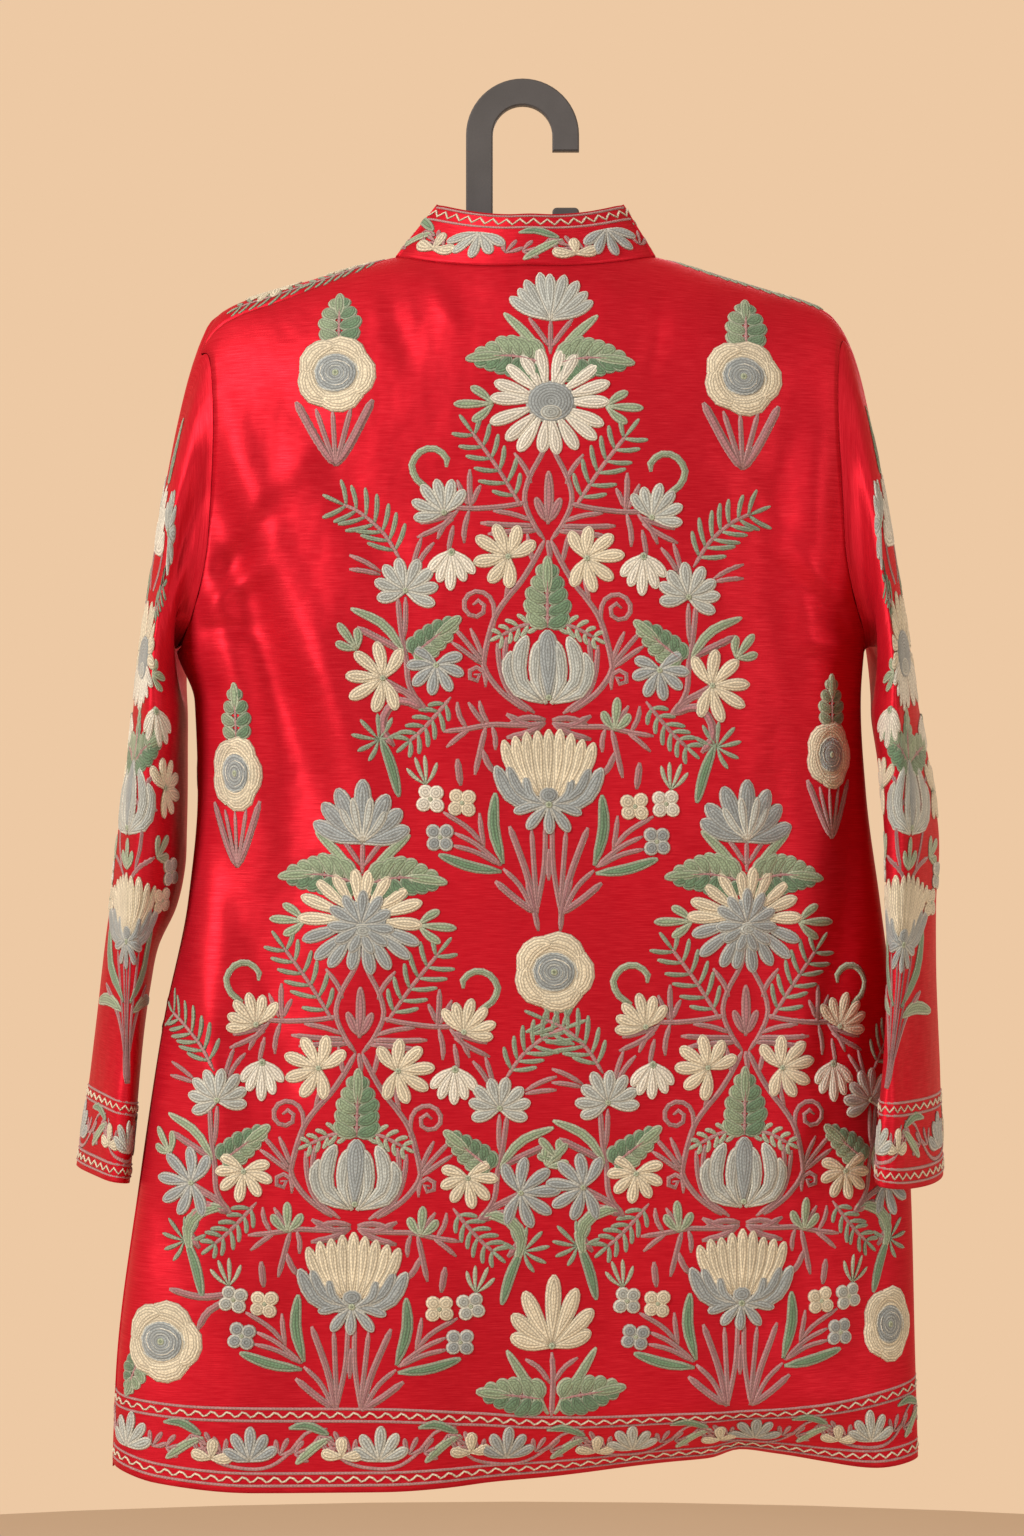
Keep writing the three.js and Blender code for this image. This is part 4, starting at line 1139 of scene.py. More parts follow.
class Stitching:
    """The embroidery of one surface, gathered shape by shape and made as one mesh."""

    def __init__(self, surface, fits, seed):
        self.surface = surface
        self.fits = fits
        self.random = random.Random(seed)
        self.flat, self.lifts, self.threads, self.edges, self.cores = [], [], [], [], []
        self.faces = []
        self.count = 0

    def vary(self, amount):
        return self.random.uniform(-amount, amount)

    def add(self, flat, share, thread, wool, level, faces):
        """Keeps one closed shape, unless it would run off its panel."""
        if not self.fits(flat[:, 0], flat[:, 1]):
            return
        top = settings().sizes.thread / MM * share + level + self.random.uniform(0, UNEVEN_LIFT)
        dye = self.random.uniform(DYE_FROM, DYE_TO)
        edge, core = wool_colours(wool)
        self.flat.append(flat)
        self.lifts.append(np.where(share > 0, top, -BURIED))
        self.threads.append(thread * MM)
        self.edges.append(np.tile(np.append(edge * dye, 1), (len(flat), 1)))
        self.cores.append(np.tile(np.append(core * dye, 1), (len(flat), 1)))
        self.faces += [tuple(self.count + i for i in face) for face in faces]
        self.count += len(flat)

    def stroke(self, spot, knots, half, outline, wool, level=STEM_LEVEL):
        """A shape stitched along a smooth line through its knots, its rows following its outline."""
        broad = outline in ("petal", "leaf")
        wide = broad and half * spot.size > WIDE_FROM
        dense, run = smooth_line(spot(knots))
        if outline == "stem":
            shares = np.linspace(0, 1, max(4, round(run[-1] / STEM_STEP)) + 1)
        else:
            shares = np.sin(np.linspace(0, math.pi / 2, 9 if broad else 6))
        halves = OUTLINES[outline](shares) * half * spot.size
        line = read_line(dense, run, shares)
        self.strip(line, halves, shares * run[-1], WIDE_SECTION if wide else NARROW_SECTION, wool, level)

    def ribbon(self, line, half, wool, level=STEM_LEVEL):
        """An even row of stitches through many points."""
        self.strip(line, np.full(len(line), half), run_of(line), NARROW_SECTION, wool, level)

    def strip(self, line, halves, run, section, wool, level):
        """A raised strip along a line: a section at each of its points, closed underneath and at its ends."""
        across, height = np.array(section).T
        along = unit(np.gradient(line, axis=0))
        right = np.stack([along[:, 1], -along[:, 0]], -1)
        flat = line[:, None] + right[:, None] * (halves[:, None] * across)[..., None]
        from_end = np.minimum(run, run[-1] - run)
        share = height * np.minimum(1, END_HEIGHT + from_end / 5)[:, None]
        from_edge = halves[:, None] * (1 - np.abs(across))
        thread = np.stack([np.broadcast_to(run[:, None], from_edge.shape), from_edge], -1)
        rings, k = len(line), len(section)
        faces = [tuple(range(k - 1, -1, -1)), tuple((rings - 1) * k + j for j in range(k))]
        for i in range(rings - 1):
            a, b = i * k, (i + 1) * k
            faces += [(a + j, a + j + 1, b + j + 1, b + j) for j in range(k - 1)]
            faces.append((a, b, b + k - 1, a + k - 1))
        self.add(flat.reshape(-1, 2), share.reshape(-1), thread.reshape(-1, 2), wool, level, faces)

    def disc(self, spot, wide, tall, wool, level=TOP_LEVEL, around=14):
        """A round shape stitched in rings."""
        angle = 2 * math.pi * np.arange(around) / around
        out, height = np.array(DISC_SECTION).T
        circle = np.stack([np.cos(angle) * wide, np.sin(angle) * tall], -1)
        points = np.concatenate([(out[:, None, None] * circle).reshape(-1, 2), [[0, 0]]])
        flat = spot(points)
        share = np.append(np.repeat(height, around), 1)
        reach = (wide + tall) / 2 * spot.size
        folded = np.minimum(angle, 2 * math.pi - angle) * reach * 0.6
        run = np.append(np.tile(folded, len(out)), 0)
        from_edge = np.append(np.repeat((1 - out) * reach, around), reach)
        handed = np.sign(np.linalg.det(spot.axes))
        faces = [tuple(range(around - 1, -1, -1))]
        for a in range(around):
            b = (a + 1) % around
            for ring in range(len(out) - 1):
                low, high = ring * around, (ring + 1) * around
                faces.append((low + a, low + b, high + b, high + a))
            faces.append(((len(out) - 1) * around + a, (len(out) - 1) * around + b, len(out) * around))
        if handed < 0:
            faces = [face[::-1] for face in faces]
        self.add(flat, share, np.stack([run, from_edge], -1), wool, level, faces)

    def make(self, name):
        """The whole embroidery as one object lying on its cloth."""
        flat = np.concatenate(self.flat)
        places, normals = self.surface.with_normals(flat[:, 0], flat[:, 1])
        points = (places + normals * np.concatenate(self.lifts)[:, None]) * MM
        mesh = bpy.data.meshes.new(name)
        mesh.from_pydata(points, [], self.faces)
        uv = mesh.uv_layers.new(name="thread")
        corners = np.empty(len(mesh.loops), dtype=np.int32)
        mesh.loops.foreach_get("vertex_index", corners)
        uv.uv.foreach_set("vector", np.concatenate(self.threads)[corners].astype(np.float32).ravel())
        for layer, values in (("dye_edge", self.edges), ("dye_core", self.cores)):
            attribute = mesh.attributes.new(layer, "FLOAT_COLOR", "POINT")
            attribute.data.foreach_set("color", np.concatenate(values).astype(np.float32).ravel())
        first = mesh.polygons[2]
        if first.normal.dot(Vector(normals[first.vertices[1]])) < 0:
            mesh.flip_normals()
        mesh.shade_smooth()
        mesh.materials.append(material_of(wool_material))
        ship(link(name, mesh), "silk")


def wool_colours(wool):
    """Linear colours of a shape's outer row and of the rows inside it."""
    colours = settings().colours
    core = np.array(getattr(colours, wool))
    return mix(core, np.array(colours.palest), PALER_EDGE[wool]), core


# ---------------------------------------------------------------- embroidery: motifs
def petal(work, spot, length, half, wool, bend=0.0, level=PETAL_LEVEL):
    work.stroke(spot, [(0, 0), (bend, length / 2), (0, length)], half, "petal", wool, level)


def stem(work, spot, half, *knots):
    work.stroke(spot, knots, half, "stem", "mauve")


def blade(work, spot, half, wool, *knots):
    """A long plain leaf."""
    work.stroke(spot, knots, half, "leaf", wool, LEAF_LEVEL)


def green_knot(work, spot, wide=2.2, tall=2.2, lift=0.0, around=8):
    """The few green stitches where petals meet."""
    work.disc(spot, wide, tall, "leaf", TOP_LEVEL + lift, around)


def fan(work, spot, count, spread, length, half, wool, side_share=0.86, level=PETAL_LEVEL):
    """Petals spreading from one root, the middle one longest and on top."""
    middle = (count - 1) / 2
    for place in sorted(range(count), key=lambda i: -abs(i - middle)):
        away = (place - middle) / middle
        reach = length * mix(1, side_share, abs(away)) * (1 + work.vary(0.05))
        turned = spot.inside(0, 0, away * spread + work.vary(3))
        petal(work, turned, reach, half, wool, away * reach * 0.06, level + 0.12 * (1 - abs(away)))


def open_flower(work, spot, count, spread, length, half, wool):
    """A flower seen from the side, with a green knot where its petals meet."""
    fan(work, spot, count, spread, length, half, wool, 0.9)
    green_knot(work, spot)


def bell(work, spot, wool="white"):
    """A hanging flower under a green cap. It grows downwards."""
    fan(work, spot.inside(0, 0, 180), 5, 44, 25, 4.0, wool, 0.78)
    green_knot(work, spot.inside(0, -1), 2.6, 3.0)


def daisy(work, spot, upper="white", lower="white", wide=40, tall=34):
    """A full round flower: a ring of long petals round a domed middle."""
    count = 18
    for place in range(count):
        angle = 360 * (place + 0.5) / count + work.vary(3)
        radians = math.radians(angle)
        reach = math.hypot(wide * math.sin(radians), tall * math.cos(radians)) * (1 + work.vary(0.06))
        wool = upper if math.cos(radians) > -0.25 else lower
        turned = spot.inside(0, 0, angle)
        knots = [(0, reach * 0.28), (0, reach * 0.6), (0, reach)]
        work.stroke(turned, knots, 4.7, "petal", wool, PETAL_LEVEL + 0.08 * (place % 2))
    work.disc(spot.inside(1, 0), wide * 0.42, tall * 0.42, "blue_grey", TOP_LEVEL + 0.1, 22)
    work.disc(spot.inside(1, -tall * 0.2), wide * 0.2, tall * 0.16, "grey", TOP_LEVEL + 0.35, 14)


def serrated_leaf(work, spot, length, half, wool="leaf", other="dark_leaf", bend=0.0):
    """A leaf of slanting rows that end as teeth along its edge, with a mauve midrib."""
    knots = [(0, 0), (bend, length / 2), (0, length)]
    teeth = max(4, round(length / 8.5))
    shares = np.linspace(0.04, 0.7, teeth)
    middle, ahead = along_line(knots, *shares), along_line(knots, *(shares + 0.19))
    for side, dye in ((-1, wool), (1, other)):
        for i, share in enumerate(shares):
            wide = half * math.sin(math.pi * (0.36 + 0.8 * share)) * (1 + work.vary(0.08))
            tip = ahead[i] + np.array([side * wide, 0])
            elbow = mix(middle[i], tip, 0.5) + np.array([side * wide * 0.16, -length * 0.03])
            level = LEAF_LEVEL + 0.03 * (teeth - i)
            work.stroke(spot, [middle[i], elbow, tip], length / teeth * 0.46 + 1.4, "leaf", dye, level)
    work.stroke(spot, along_line(knots, 0.48, 0.8, 1), 4.2, "leaf", wool, LEAF_LEVEL + 0.2)
    work.stroke(spot, along_line(knots, 0, 0.36, 0.72), 1.5, "stem", "mauve", LEAF_LEVEL + 0.4)


def fern(work, spot, knots, pairs, leaf_length, wool="dark_leaf"):
    """A stem with leaflets in pairs and one at its tip."""
    shares = np.linspace(0.14, 0.93, pairs)
    places, ahead = along_line(knots, *shares), along_line(knots, *np.minimum(1, shares + 0.03))
    stem(work, spot, 1.6, *knots)
    for i in range(pairs):
        heading = math.degrees(math.atan2(*(ahead[i] - places[i])))
        reach = leaf_length * (1.2 - 0.4 * abs(shares[i] - 0.45)) * (1 + work.vary(0.1))
        for side in (-1, 1):
            turned = spot.inside(*places[i], heading + side * (50 + work.vary(6)))
            line = [(0, 0.6), (side * 0.8, reach / 2), (0, reach)]
            work.stroke(turned, line, 2.0, "leaflet", wool, LEAF_LEVEL)
    last, tip = along_line(knots, 0.97, 1)
    turned = spot.inside(*tip, math.degrees(math.atan2(*(tip - last))))
    work.stroke(turned, [(0, -2), (0, 3), (0, leaf_length * 0.8)], 1.75, "leaflet", wool, LEAF_LEVEL)


def cane(work, spot, wool="grey"):
    """A bud under a hooked stalk, like a walking stick."""
    hook = [(9, 15), (17, 20), (21, 30), (15, 39), (6, 40.5), (-1, 35), (-1, 29)]
    work.stroke(spot, hook, 2.7, "stem", "leaf", LEAF_LEVEL)
    fan(work, spot.inside(0, 0, 28), 6, 70, 23, 4.1, wool, 0.85)
    green_knot(work, spot)


# Petals of the tulip, from the outer ones in: sides, half width, height of the layer, then points outwards.
TULIP_PETALS = (
    ((-1, 1), 4.4, 0, (4, 1), (20, 7), (26, 22), (23, 33)),
    ((-1, 1), 5.6, 0.1, (3, 1), (17, 14), (18, 30), (13, 43)),
    ((-0.5, 0.5), 4.6, 0.18, (3, 0), (16, 14), (15, 30), (11, 40)),
)


def tulip(work, spot):
    """A closed flower of long overlapping petals. Its root is at its base."""
    for sides, half, lift, *knots in TULIP_PETALS:
        for side in sides:
            line = [(side * x, y) for x, y in knots]
            work.stroke(spot, line, half, "petal", "grey", PETAL_LEVEL + lift)
    work.stroke(spot, [(0, 2), (0, 22), (0, 47)], 7.6, "petal", "blue_grey", PETAL_LEVEL + 0.3)
    green_knot(work, spot.inside(0, 4), 2.4, 2.4, 0.2)


# Side petals of the lotus: half width, height of the layer, then points outwards.
LOTUS_SIDES = (
    (5.4, 0.16, (1, 0), (22, 6), (34, 27)),
    (4.6, 0.24, (1, 2), (18, 11), (26, 27)),
    (4.0, 0.3, (1, 2), (12, 9), (15, 21)),
)


def lotus(work, spot, upper="cream", outer="blue_grey"):
    """A wide flower: upright petals between two boat-shaped ones, with short ones hanging below."""
    for place in sorted(range(-4, 5), key=lambda i: -abs(i)):
        x = place * 7.2
        top = 52 - 9 * (abs(x) / 29) ** 1.4 + work.vary(1.5)
        knots = [(x * 0.35, 8), (x * 0.8, 26), (x, top)]
        work.stroke(spot, knots, 4.5, "petal", upper, PETAL_LEVEL + 0.1 * (1 - abs(place) / 4))
    for side in (-1, 1):
        for half, lift, *knots in LOTUS_SIDES:
            line = [(side * x, y) for x, y in knots]
            work.stroke(spot, line, half, "petal", outer, PETAL_LEVEL + lift)
    work.disc(spot.inside(0, 9), 7, 6, outer, PETAL_LEVEL + 0.1)
    fan(work, spot.inside(0, 3, 180), 5, 78, 19, 4.0, outer, 1.15, PETAL_LEVEL + 0.2)
    green_knot(work, spot.inside(0, 3), 2.6, 2.6, 0.2)


def blossom(work, spot, wool="white"):
    """A small flower of round petals."""
    for place in range(4):
        turned = spot.inside(0, 0, 90 * place + 40 + work.vary(10))
        work.disc(turned.inside(0, 5.4), 4.9, 5.2, wool, PETAL_LEVEL + 0.06 * place, 12)
    green_knot(work, spot, 1.7, 1.7)


def rose(work, spot):
    """A full rose: curved outer petals that overlap, round turning rows of grey and white."""
    work.disc(spot, 22, 20.5, "cream", PETAL_LEVEL - 0.1, 24)
    for place in range(5):
        line = []
        for step in np.linspace(-1, 1, 9):
            out = 17.6 + 3.0 * math.cos(step * math.pi / 2)
            line.append((out * math.sin(0.88 * step), out * 0.95 * math.cos(0.88 * step)))
        turned = spot.inside(0, 0, 72 * place + 20)
        work.stroke(turned, line, 7.2, "leaf", "cream", PETAL_LEVEL + 0.03 * place)
    work.disc(spot, 15.5, 14.5, "blue_grey", TOP_LEVEL, 22)
    for out, wool in ((12.6, "grey"), (8.8, "white"), (5.2, "grey")):
        for start in (0, 125, 245):
            line = []
            for step, angle in enumerate(np.radians(np.linspace(0, 118, 6) + start + out * 9)):
                reach = out * (1 + 0.05 * step)
                line.append((reach * math.sin(angle), out * 0.94 * math.cos(angle)))
            work.stroke(spot, line, 1.5, "leaflet", wool, TOP_LEVEL + 0.3)
    green_knot(work, spot, 2.6, 2.6, 0.35, 10)


def rose_sprig(work, spot):
    """A rose with a leaf above it and a fan of stems below."""
    serrated_leaf(work, spot.inside(2, 22), 36, 13)
    for x, y, half in ((-26, -18, 3.5), (-13, -23, 2.2), (-2, -24, 2), (10, -23, 2.2), (24, -18, 3.5)):
        stem(work, spot, half, (0, -60), (x * 0.4, -46), (x, y))
    rose(work, spot)


def trefoil(work, spot, length=24, half=3.2, wool="leaf"):
    fan(work, spot, 3, 38, length, half, wool, 0.72, LEAF_LEVEL)


SPIRAL_TURNS = 1.45


def spiral(work, spot, reach=11.0):
    """A tendril rolled up inwards. It starts at its root and turns to the right."""
    knots = [(0, -reach * 1.2)]
    for share in np.linspace(0, 1, 13):
        angle, radius = SPIRAL_TURNS * 2 * math.pi * share, reach * (1 - 0.78 * share)
        knots.append((reach - radius * math.cos(angle), radius * math.sin(angle)))
    stem(work, spot, 1.9, *knots)


# ---------------------------------------------------------------- embroidery: the flowering tree
# Stems on one side of a tree's axis, from its daisy's middle, in mm: half width, then their points outwards.
TREE_STEMS = (
    (2.0, (1, 36), (6, 44), (14, 55)),
    (2.0, (1, -16), (3, -30), (12, -48), (15, -63), (9, -78), (2, -88)),
    (2.0, (22, -33), (14, -44), (11, -52)),
    (2.1, (13, -64), (27, -67), (48, -69), (64, -68)),
    (2.2, (49, -69), (50, -56), (50, -44)),
    (2.0, (51, -67), (55, -58), (58, -51)),
    (2.0, (48, -66), (46, -60), (43, -54)),
    (2.1, (50, -70), (53, -82), (53, -91)),
    (2.1, (57, -70), (66, -80), (70, -89)),
    (2.2, (58, -72), (70, -76), (81, -79)),
    (2.1, (60, -76), (72, -83), (83, -88)),
    (2.2, (8, -79), (26, -79), (43, -78)),
    (2.0, (10, -76), (22, -72), (35, -70)),
    (2.3, (6, -82), (22, -83), (38, -85)),
    (2.0, (13, -84), (11, -95), (9, -103)),
    (2.0, (63, -97), (62, -90), (60, -80)),
    (2.0, (126, -100), (116, -104), (106, -110)),
    (2.0, (126, -109), (116, -110), (106, -112)),
    (2.0, (80, -88), (83, -97), (86, -108)),
    (2.0, (72, -91), (78, -98), (84, -108)),
    (
        *(2.2, (2, -88), (9, -102), (17, -115), (26, -126)),
        *((34, -139), (40, -161), (40, -171), (30, -185), (14, -197)),
    ),
    (1.9, (25, -103), (24, -114), (27, -125)),
    (2.2, (95, -126), (93, -147), (90, -165), (88, -183), (78, -199)),
    (2.0, (90, -126), (90, -140), (91, -152)),
    (2.9, (91, -161), (107, -153), (121, -146)),
    (2.1, (32, -154), (30, -172), (24, -186), (9, -198)),
    (2.1, (26, -150), (27, -166), (21, -184)),
    (2.0, (59, -145), (48, -158), (41, -167)),
    (2.0, (49, -145), (44, -156), (41, -164)),
    (2.0, (61, -154), (51, -161), (42, -168)),
    (2.7, (2, -204), (13, -206), (27, -199)),
    (2.7, (3, -205), (14, -211), (27, -214)),
    (2.4, (2, -202), (14, -201), (25, -205)),
    (2.1, (8, -206), (24, -206), (37, -206), (52, -209), (67, -211)),
    (2.0, (38, -206), (42, -199), (44, -191)),
    (2.0, (41, -206), (47, -198), (51, -192)),
    (2.0, (52, -209), (57, -200), (58, -192)),
    (2.2, (40, -207), (43, -220), (47, -238)),
    (2.4, (42, -222), (39, -230), (34, -237)),
    (2.0, (36, -207), (34, -214), (34, -222)),
    (2.0, (50, -209), (57, -214), (65, -221)),
    (2.0, (107, -177), (96, -183), (84, -190), (77, -199)),
    (2.0, (102, -183), (91, -187), (80, -196)),
    (3.2, (79, -197), (93, -192), (103, -199), (105, -211), (98, -221)),
    (2.7, (56, -245), (57, -237), (58, -228)),
    (2.0, (60, -275), (46, -282), (30, -295)),
    (2.0, (61, -283), (46, -287), (31, -295)),
    (2.0, (44, -262), (43, -272), (41, -284)),
    (2.0, (67, -262), (51, -272), (42, -282)),
    (2.6, (8, -325), (14, -300), (25, -270)),
    (2.0, (8, -325), (3, -296), (2, -268)),
    (2.0, (7, -325), (9, -300), (11, -272)),
    (2.0, (9, -325), (18, -308), (29, -297)),
    (2.8, (8, -325), (21, -316), (34, -305)),
)
# Ferns on one side: pairs of leaflets, their length and wool, then the stem's points.
TREE_FERNS = (
    (6, 15, "dark_leaf", (17, -67), (33, -42), (50, -19)),
    (7, 16, "dark_leaf", (93, -103), (104, -86), (119, -73), (132, -67)),
    (5, 8, "leaf", (2, -143), (14, -142), (31, -150)),
    (6, 11, "dark_leaf", (62, -189), (71, -200), (80, -210), (90, -219)),
)
# Long plain leaves on one side: half width, wool, then their points.
TREE_LEAVES = (
    (3.6, "leaf", (3, 27), (15, 43), (30, 58)),
    (3.4, "leaf", (90, -163), (104, -144), (125, -134)),
    (3.8, "dark_leaf", (107, -215), (100, -233), (95, -253)),
    (4.1, "dark_leaf", (29, -294), (35, -271), (34, -249)),
    (3.8, "dark_leaf", (30, -299), (50, -296), (70, -289)),
    (3.1, "mauve", (1, -76), (4, -70), (8, -61)),
)


def tree_side(work, spot, trefoils, late):
    """One side of a tree. late says that its flowers turn to grey below its daisy."""
    for half, *knots in TREE_STEMS:
        stem(work, spot, half, *knots)
    for pairs, leaf_length, wool, *knots in TREE_FERNS:
        fern(work, spot, knots, pairs, leaf_length, wool)
    for half, wool, *knots in TREE_LEAVES:
        blade(work, spot, half, wool, *knots)
    serrated_leaf(work, spot.inside(4, 25, 88), 50, 12.5, bend=-4)
    serrated_leaf(work, spot.inside(86, -163, -51), 40, 8)
    trefoil(work, spot.inside(36, -2, 90))
    trefoil(work, spot.inside(121, -160, 38), 20)
    if trefoils:
        trefoil(work, spot.inside(42, -208, 4), 21, 3.3)
    if late:
        blade(work, spot, 4.6, "leaf", (80, -193), (96, -195), (106, -207), (104, -224))
    spiral(work, spot.inside(34, -131))
    spiral(work, spot.inside(40, -175), 6.0)
    cane(work, spot.inside(66, -72), "cream" if late else "grey")
    open_flower(work, spot.inside(25, -99, 70 + work.vary(20)), 7, 120, 23, 4.7, "cream")
    bell(work, spot.inside(61, -96))
    open_flower(work, spot.inside(90, -122, work.vary(12)), 8, 108, 22, 4.5, "grey")
    fan(work, spot.inside(71, -160), 3, 45, 9, 2.0, "leaf", 0.8, LEAF_LEVEL)
    open_flower(work, spot.inside(71, -169, 172), 7, 118, 20, 4.2, "cream" if late else "blue_grey")
    open_flower(work, spot.inside(105, -178, 85), 7, 116, 25, 4.5, "blue_grey" if late else "cream")
    fan(work, spot.inside(108, -217, 42), 7, 112, 18, 1.9, "dark_leaf", 0.85, LEAF_LEVEL)
    fan(work, spot.inside(78, -245, 12), 4, 36, 20, 1.8, "leaf", 0.8, LEAF_LEVEL)
    for x, y, wool in ((75, -254, "grey" if late else "white"), (55, -256, "cream"), (69, -278, "blue_grey")):
        blossom(work, spot.inside(x, y), wool)


def tree(work, spot, trefoils=(-1, 1), late=False):
    """A whole flowering tree round its axis. Its spot is the middle of its daisy."""
    for side in (-1, 1):
        tree_side(work, spot.inside(0, 0, 0, side), side in trefoils, late)
    stem(work, spot, 2.0, (0, 31), (0, 43), (0, 54))
    stem(work, spot, 2.2, (0, -88), (1, -94), (2, -100))
    stem(work, spot, 2.2, (0, -304), (0, -294), (0, -284))
    blade(work, spot, 3.4, "mauve", (0, -78), (0.5, -62), (0, -44))
    serrated_leaf(work, spot.inside(0, -144), 46, 13)
    if late:
        fan(work, spot.inside(0, 52), 7, 70, 40, 6.2, "blue_grey", 0.8)
        fan(work, spot.inside(0, 52), 4, 34, 30, 3.6, "grey", 0.9, TOP_LEVEL)
        daisy(work, spot, "cream", "blue_grey")
        fan(work, spot.inside(0, -3), 11, 160, 23, 4.6, "blue_grey", 0.85, TOP_LEVEL + 0.3)
    else:
        fan(work, spot.inside(0, 54), 9, 62, 34, 4.6, "grey")
        daisy(work, spot)
    tulip(work, spot.inside(0, -192))
    lotus(work, spot.inside(0, -259))


# ---------------------------------------------------------------- embroidery: borders
ZIGZAG_WAVE = 10.0
WAVE_HEIGHT = 1.7
BAND_HALF = 3.9
BORDER_REPEAT = 87.0


def even_course(height):
    """The course of a band that keeps one height."""
    return lambda side: height + 0.0 * side


def line_along(work, height, start, end, wool="mauve", half=1.1, wave=0.0, off=0.0):
    """A stitched line at a height that may change along the way, straight or in waves."""
    step = ZIGZAG_WAVE / 4 if wave else 8.0
    side = np.linspace(start, end, max(4, round((end - start) / step)) + 1)
    knots = np.stack([side, height(side) + off], -1)
    if wave:
        knots[:, 1] += wave * np.sin(2 * math.pi * side / ZIGZAG_WAVE)
    work.ribbon(knots, half, wool, LEAF_LEVEL if wave else STEM_LEVEL)


def zigzag_band(work, height, start, end):
    """Two lines with a pale wave between them. height is the band's middle."""
    for off in (-BAND_HALF, BAND_HALF):
        line_along(work, height, start, end, off=off)
    line_along(work, height, start, end, "cream", 0.9, WAVE_HEIGHT)


def vine_unit(work, spot, bells, wool):
    """One repeat of the border: a flower, a winding stem, long leaves and a small flower."""
    stem(work, spot, 1.5, (-36, 5), (-24, -9), (-8, -14), (10, -14), (24, -6), (38, 10), (52, 13))
    for x, y, turn in ((-19, -5, -24), (20, -5, 26), (-27, 0, -60), (30, -4, 75), (46, 8, 150)):
        fan(work, spot.inside(x, y, turn), 3, 42, 13, 2.2, "mauve", 0.85, STEM_LEVEL)
    blade(work, spot, 3.4, "dark_leaf", (26, 13), (38, 15), (53, 9))
    blade(work, spot, 3.5, "leaf", (55, 7), (44, 1), (31, -11))
    fan(work, spot.inside(62, -6), 3, 78, 14, 4.6, "cream", 1.0)
    if bells:
        fan(work, spot.inside(0, 12, 180), 5, 62, 23, 4.3, wool, 0.95)
    else:
        fan(work, spot.inside(0, -9), 5, 66, 23, 4.3, wool, 0.86)


def vine_band(work, height, start, end, tall=1.0, bells=False, first=0.35):
    """Repeats of the border between two sides. height is the band's middle."""
    count = max(1, round((end - start) / BORDER_REPEAT))
    wide = (end - start) / count / BORDER_REPEAT
    for i in range(count):
        side = start + (i + first) * (end - start) / count
        lean = math.degrees(math.atan2(height(side + 5) - height(side - 5), 10))
        vine_unit(work, Spot(side, height(side), -lean, 1, wide, tall), bells, ("grey", "blue_grey")[i % 2])


# ---------------------------------------------------------------- embroidery: one chart for each panel
# Height of the border's upper edge along the back's hem, by mm to the side.
BORDER_TOP = Curve(
    (-290, -200, -100, -40, 0, 60, 120, 180, 240, 280),
    (-833, -838, -839, -843, -847, -849, -849, -847, -840, -834),
)
EDGE_MARGIN = 4.0
BORDER_MARGIN = 7.0
BORDER_MIDDLE = 30.0  # height above the hem at which the border's ends are measured
ARMHOLE_EDGE = 204
VINE_TALL = 0.94
FLAT = Spot(0, 0)


def hem_border(work, shell, start, end):
    """The two zigzag bands and the vine between them, above a hem."""

    def hem(side):
        return shell.hem(shell.across(side, np.full_like(side, HEM_LEVEL)))

    def upper(side):
        return BORDER_TOP(side) - 4.0 if shell.name == "back" else hem(side) + 50.0

    def lower(side):
        return hem(side) + 8.5

    def middle(side):
        side = np.array([side])
        return float((upper(side) + lower(side))[0] / 2)

    zigzag_band(work, upper, start, end)
    zigzag_band(work, lower, start, end)
    vine_band(work, middle, start, end, tall=VINE_TALL)


def inside_panel(shell, side):
    """Says whether a shape fits on a panel."""

    def fits(sides, heights):
        left, right = shell.edges(heights)
        if side:
            opening = np.full_like(sides, FRONT_GAP_HEM)
            left, right = (opening, right) if side > 0 else (left, -opening)
        above = heights > UNDERARM
        left = np.where(above, np.maximum(left, -ARMHOLE_EDGE), left)
        right = np.where(above, np.minimum(right, ARMHOLE_EDGE), right)
        return bool(np.all((sides > left + EDGE_MARGIN) & (sides < right - EDGE_MARGIN)))

    return fits


def back_chart(work):
    """The back: one tree from the neck to the waist, two below it, and roses at the shoulders and sides."""
    shell = work.surface
    rose(work, Spot(10.5, -563))
    stem(work, FLAT, 2.2, (1, -537), (-2, -520), (-6, -505))
    stem(work, FLAT, 2.2, (15, -537), (17, -520), (23, -505))
    tree(work, Spot(14.5, -201, 1.2), trefoils=(1,))
    tree(work, Spot(-111, -530, 1.9, tall=0.953), late=True)
    tree(work, Spot(136, -530, 0.9, tall=0.965), late=True)
    rose_sprig(work, Spot(-122, -181))
    rose_sprig(work, Spot(139, -183, 1))
    rose_sprig(work, Spot(-193, -437, -1, wide=0.7))
    rose_sprig(work, Spot(198, -425, wide=0.68, tall=0.9))
    stem(work, FLAT, 2.8, (-196, -766), (-216, -768), (-236, -764))
    stem(work, FLAT, 2.8, (-196, -769), (-210, -777), (-217, -789))
    serrated_leaf(work, Spot(-258, -810, 205), 26, 10)
    rose(work, Spot(-241, -797, wide=1.05))
    rose(work, Spot(240, -797, wide=0.8))
    centre = Spot(8, -801)
    fan(work, centre, 7, 74, 45, 5.6, "cream", 0.62)
    green_knot(work, centre, 2.4, 2.4)
    for side in (-1, 1):
        half = centre.inside(0, 0, 0, side)
        blade(work, half, 3.6, "leaf", (2, -44), (14, -26), (29, -2))
        stem(work, half, 2.0, (1, -24), (8, -14), (17, -8))
        serrated_leaf(work, half.inside(5, -34, 82), 44, 11)
    stem(work, centre, 2.2, (0, -46), (1, -22), (0, -4))
    left, right = shell.edges(HEM_LEVEL + BORDER_MIDDLE)
    hem_border(work, shell, left + BORDER_MARGIN, right - BORDER_MARGIN)


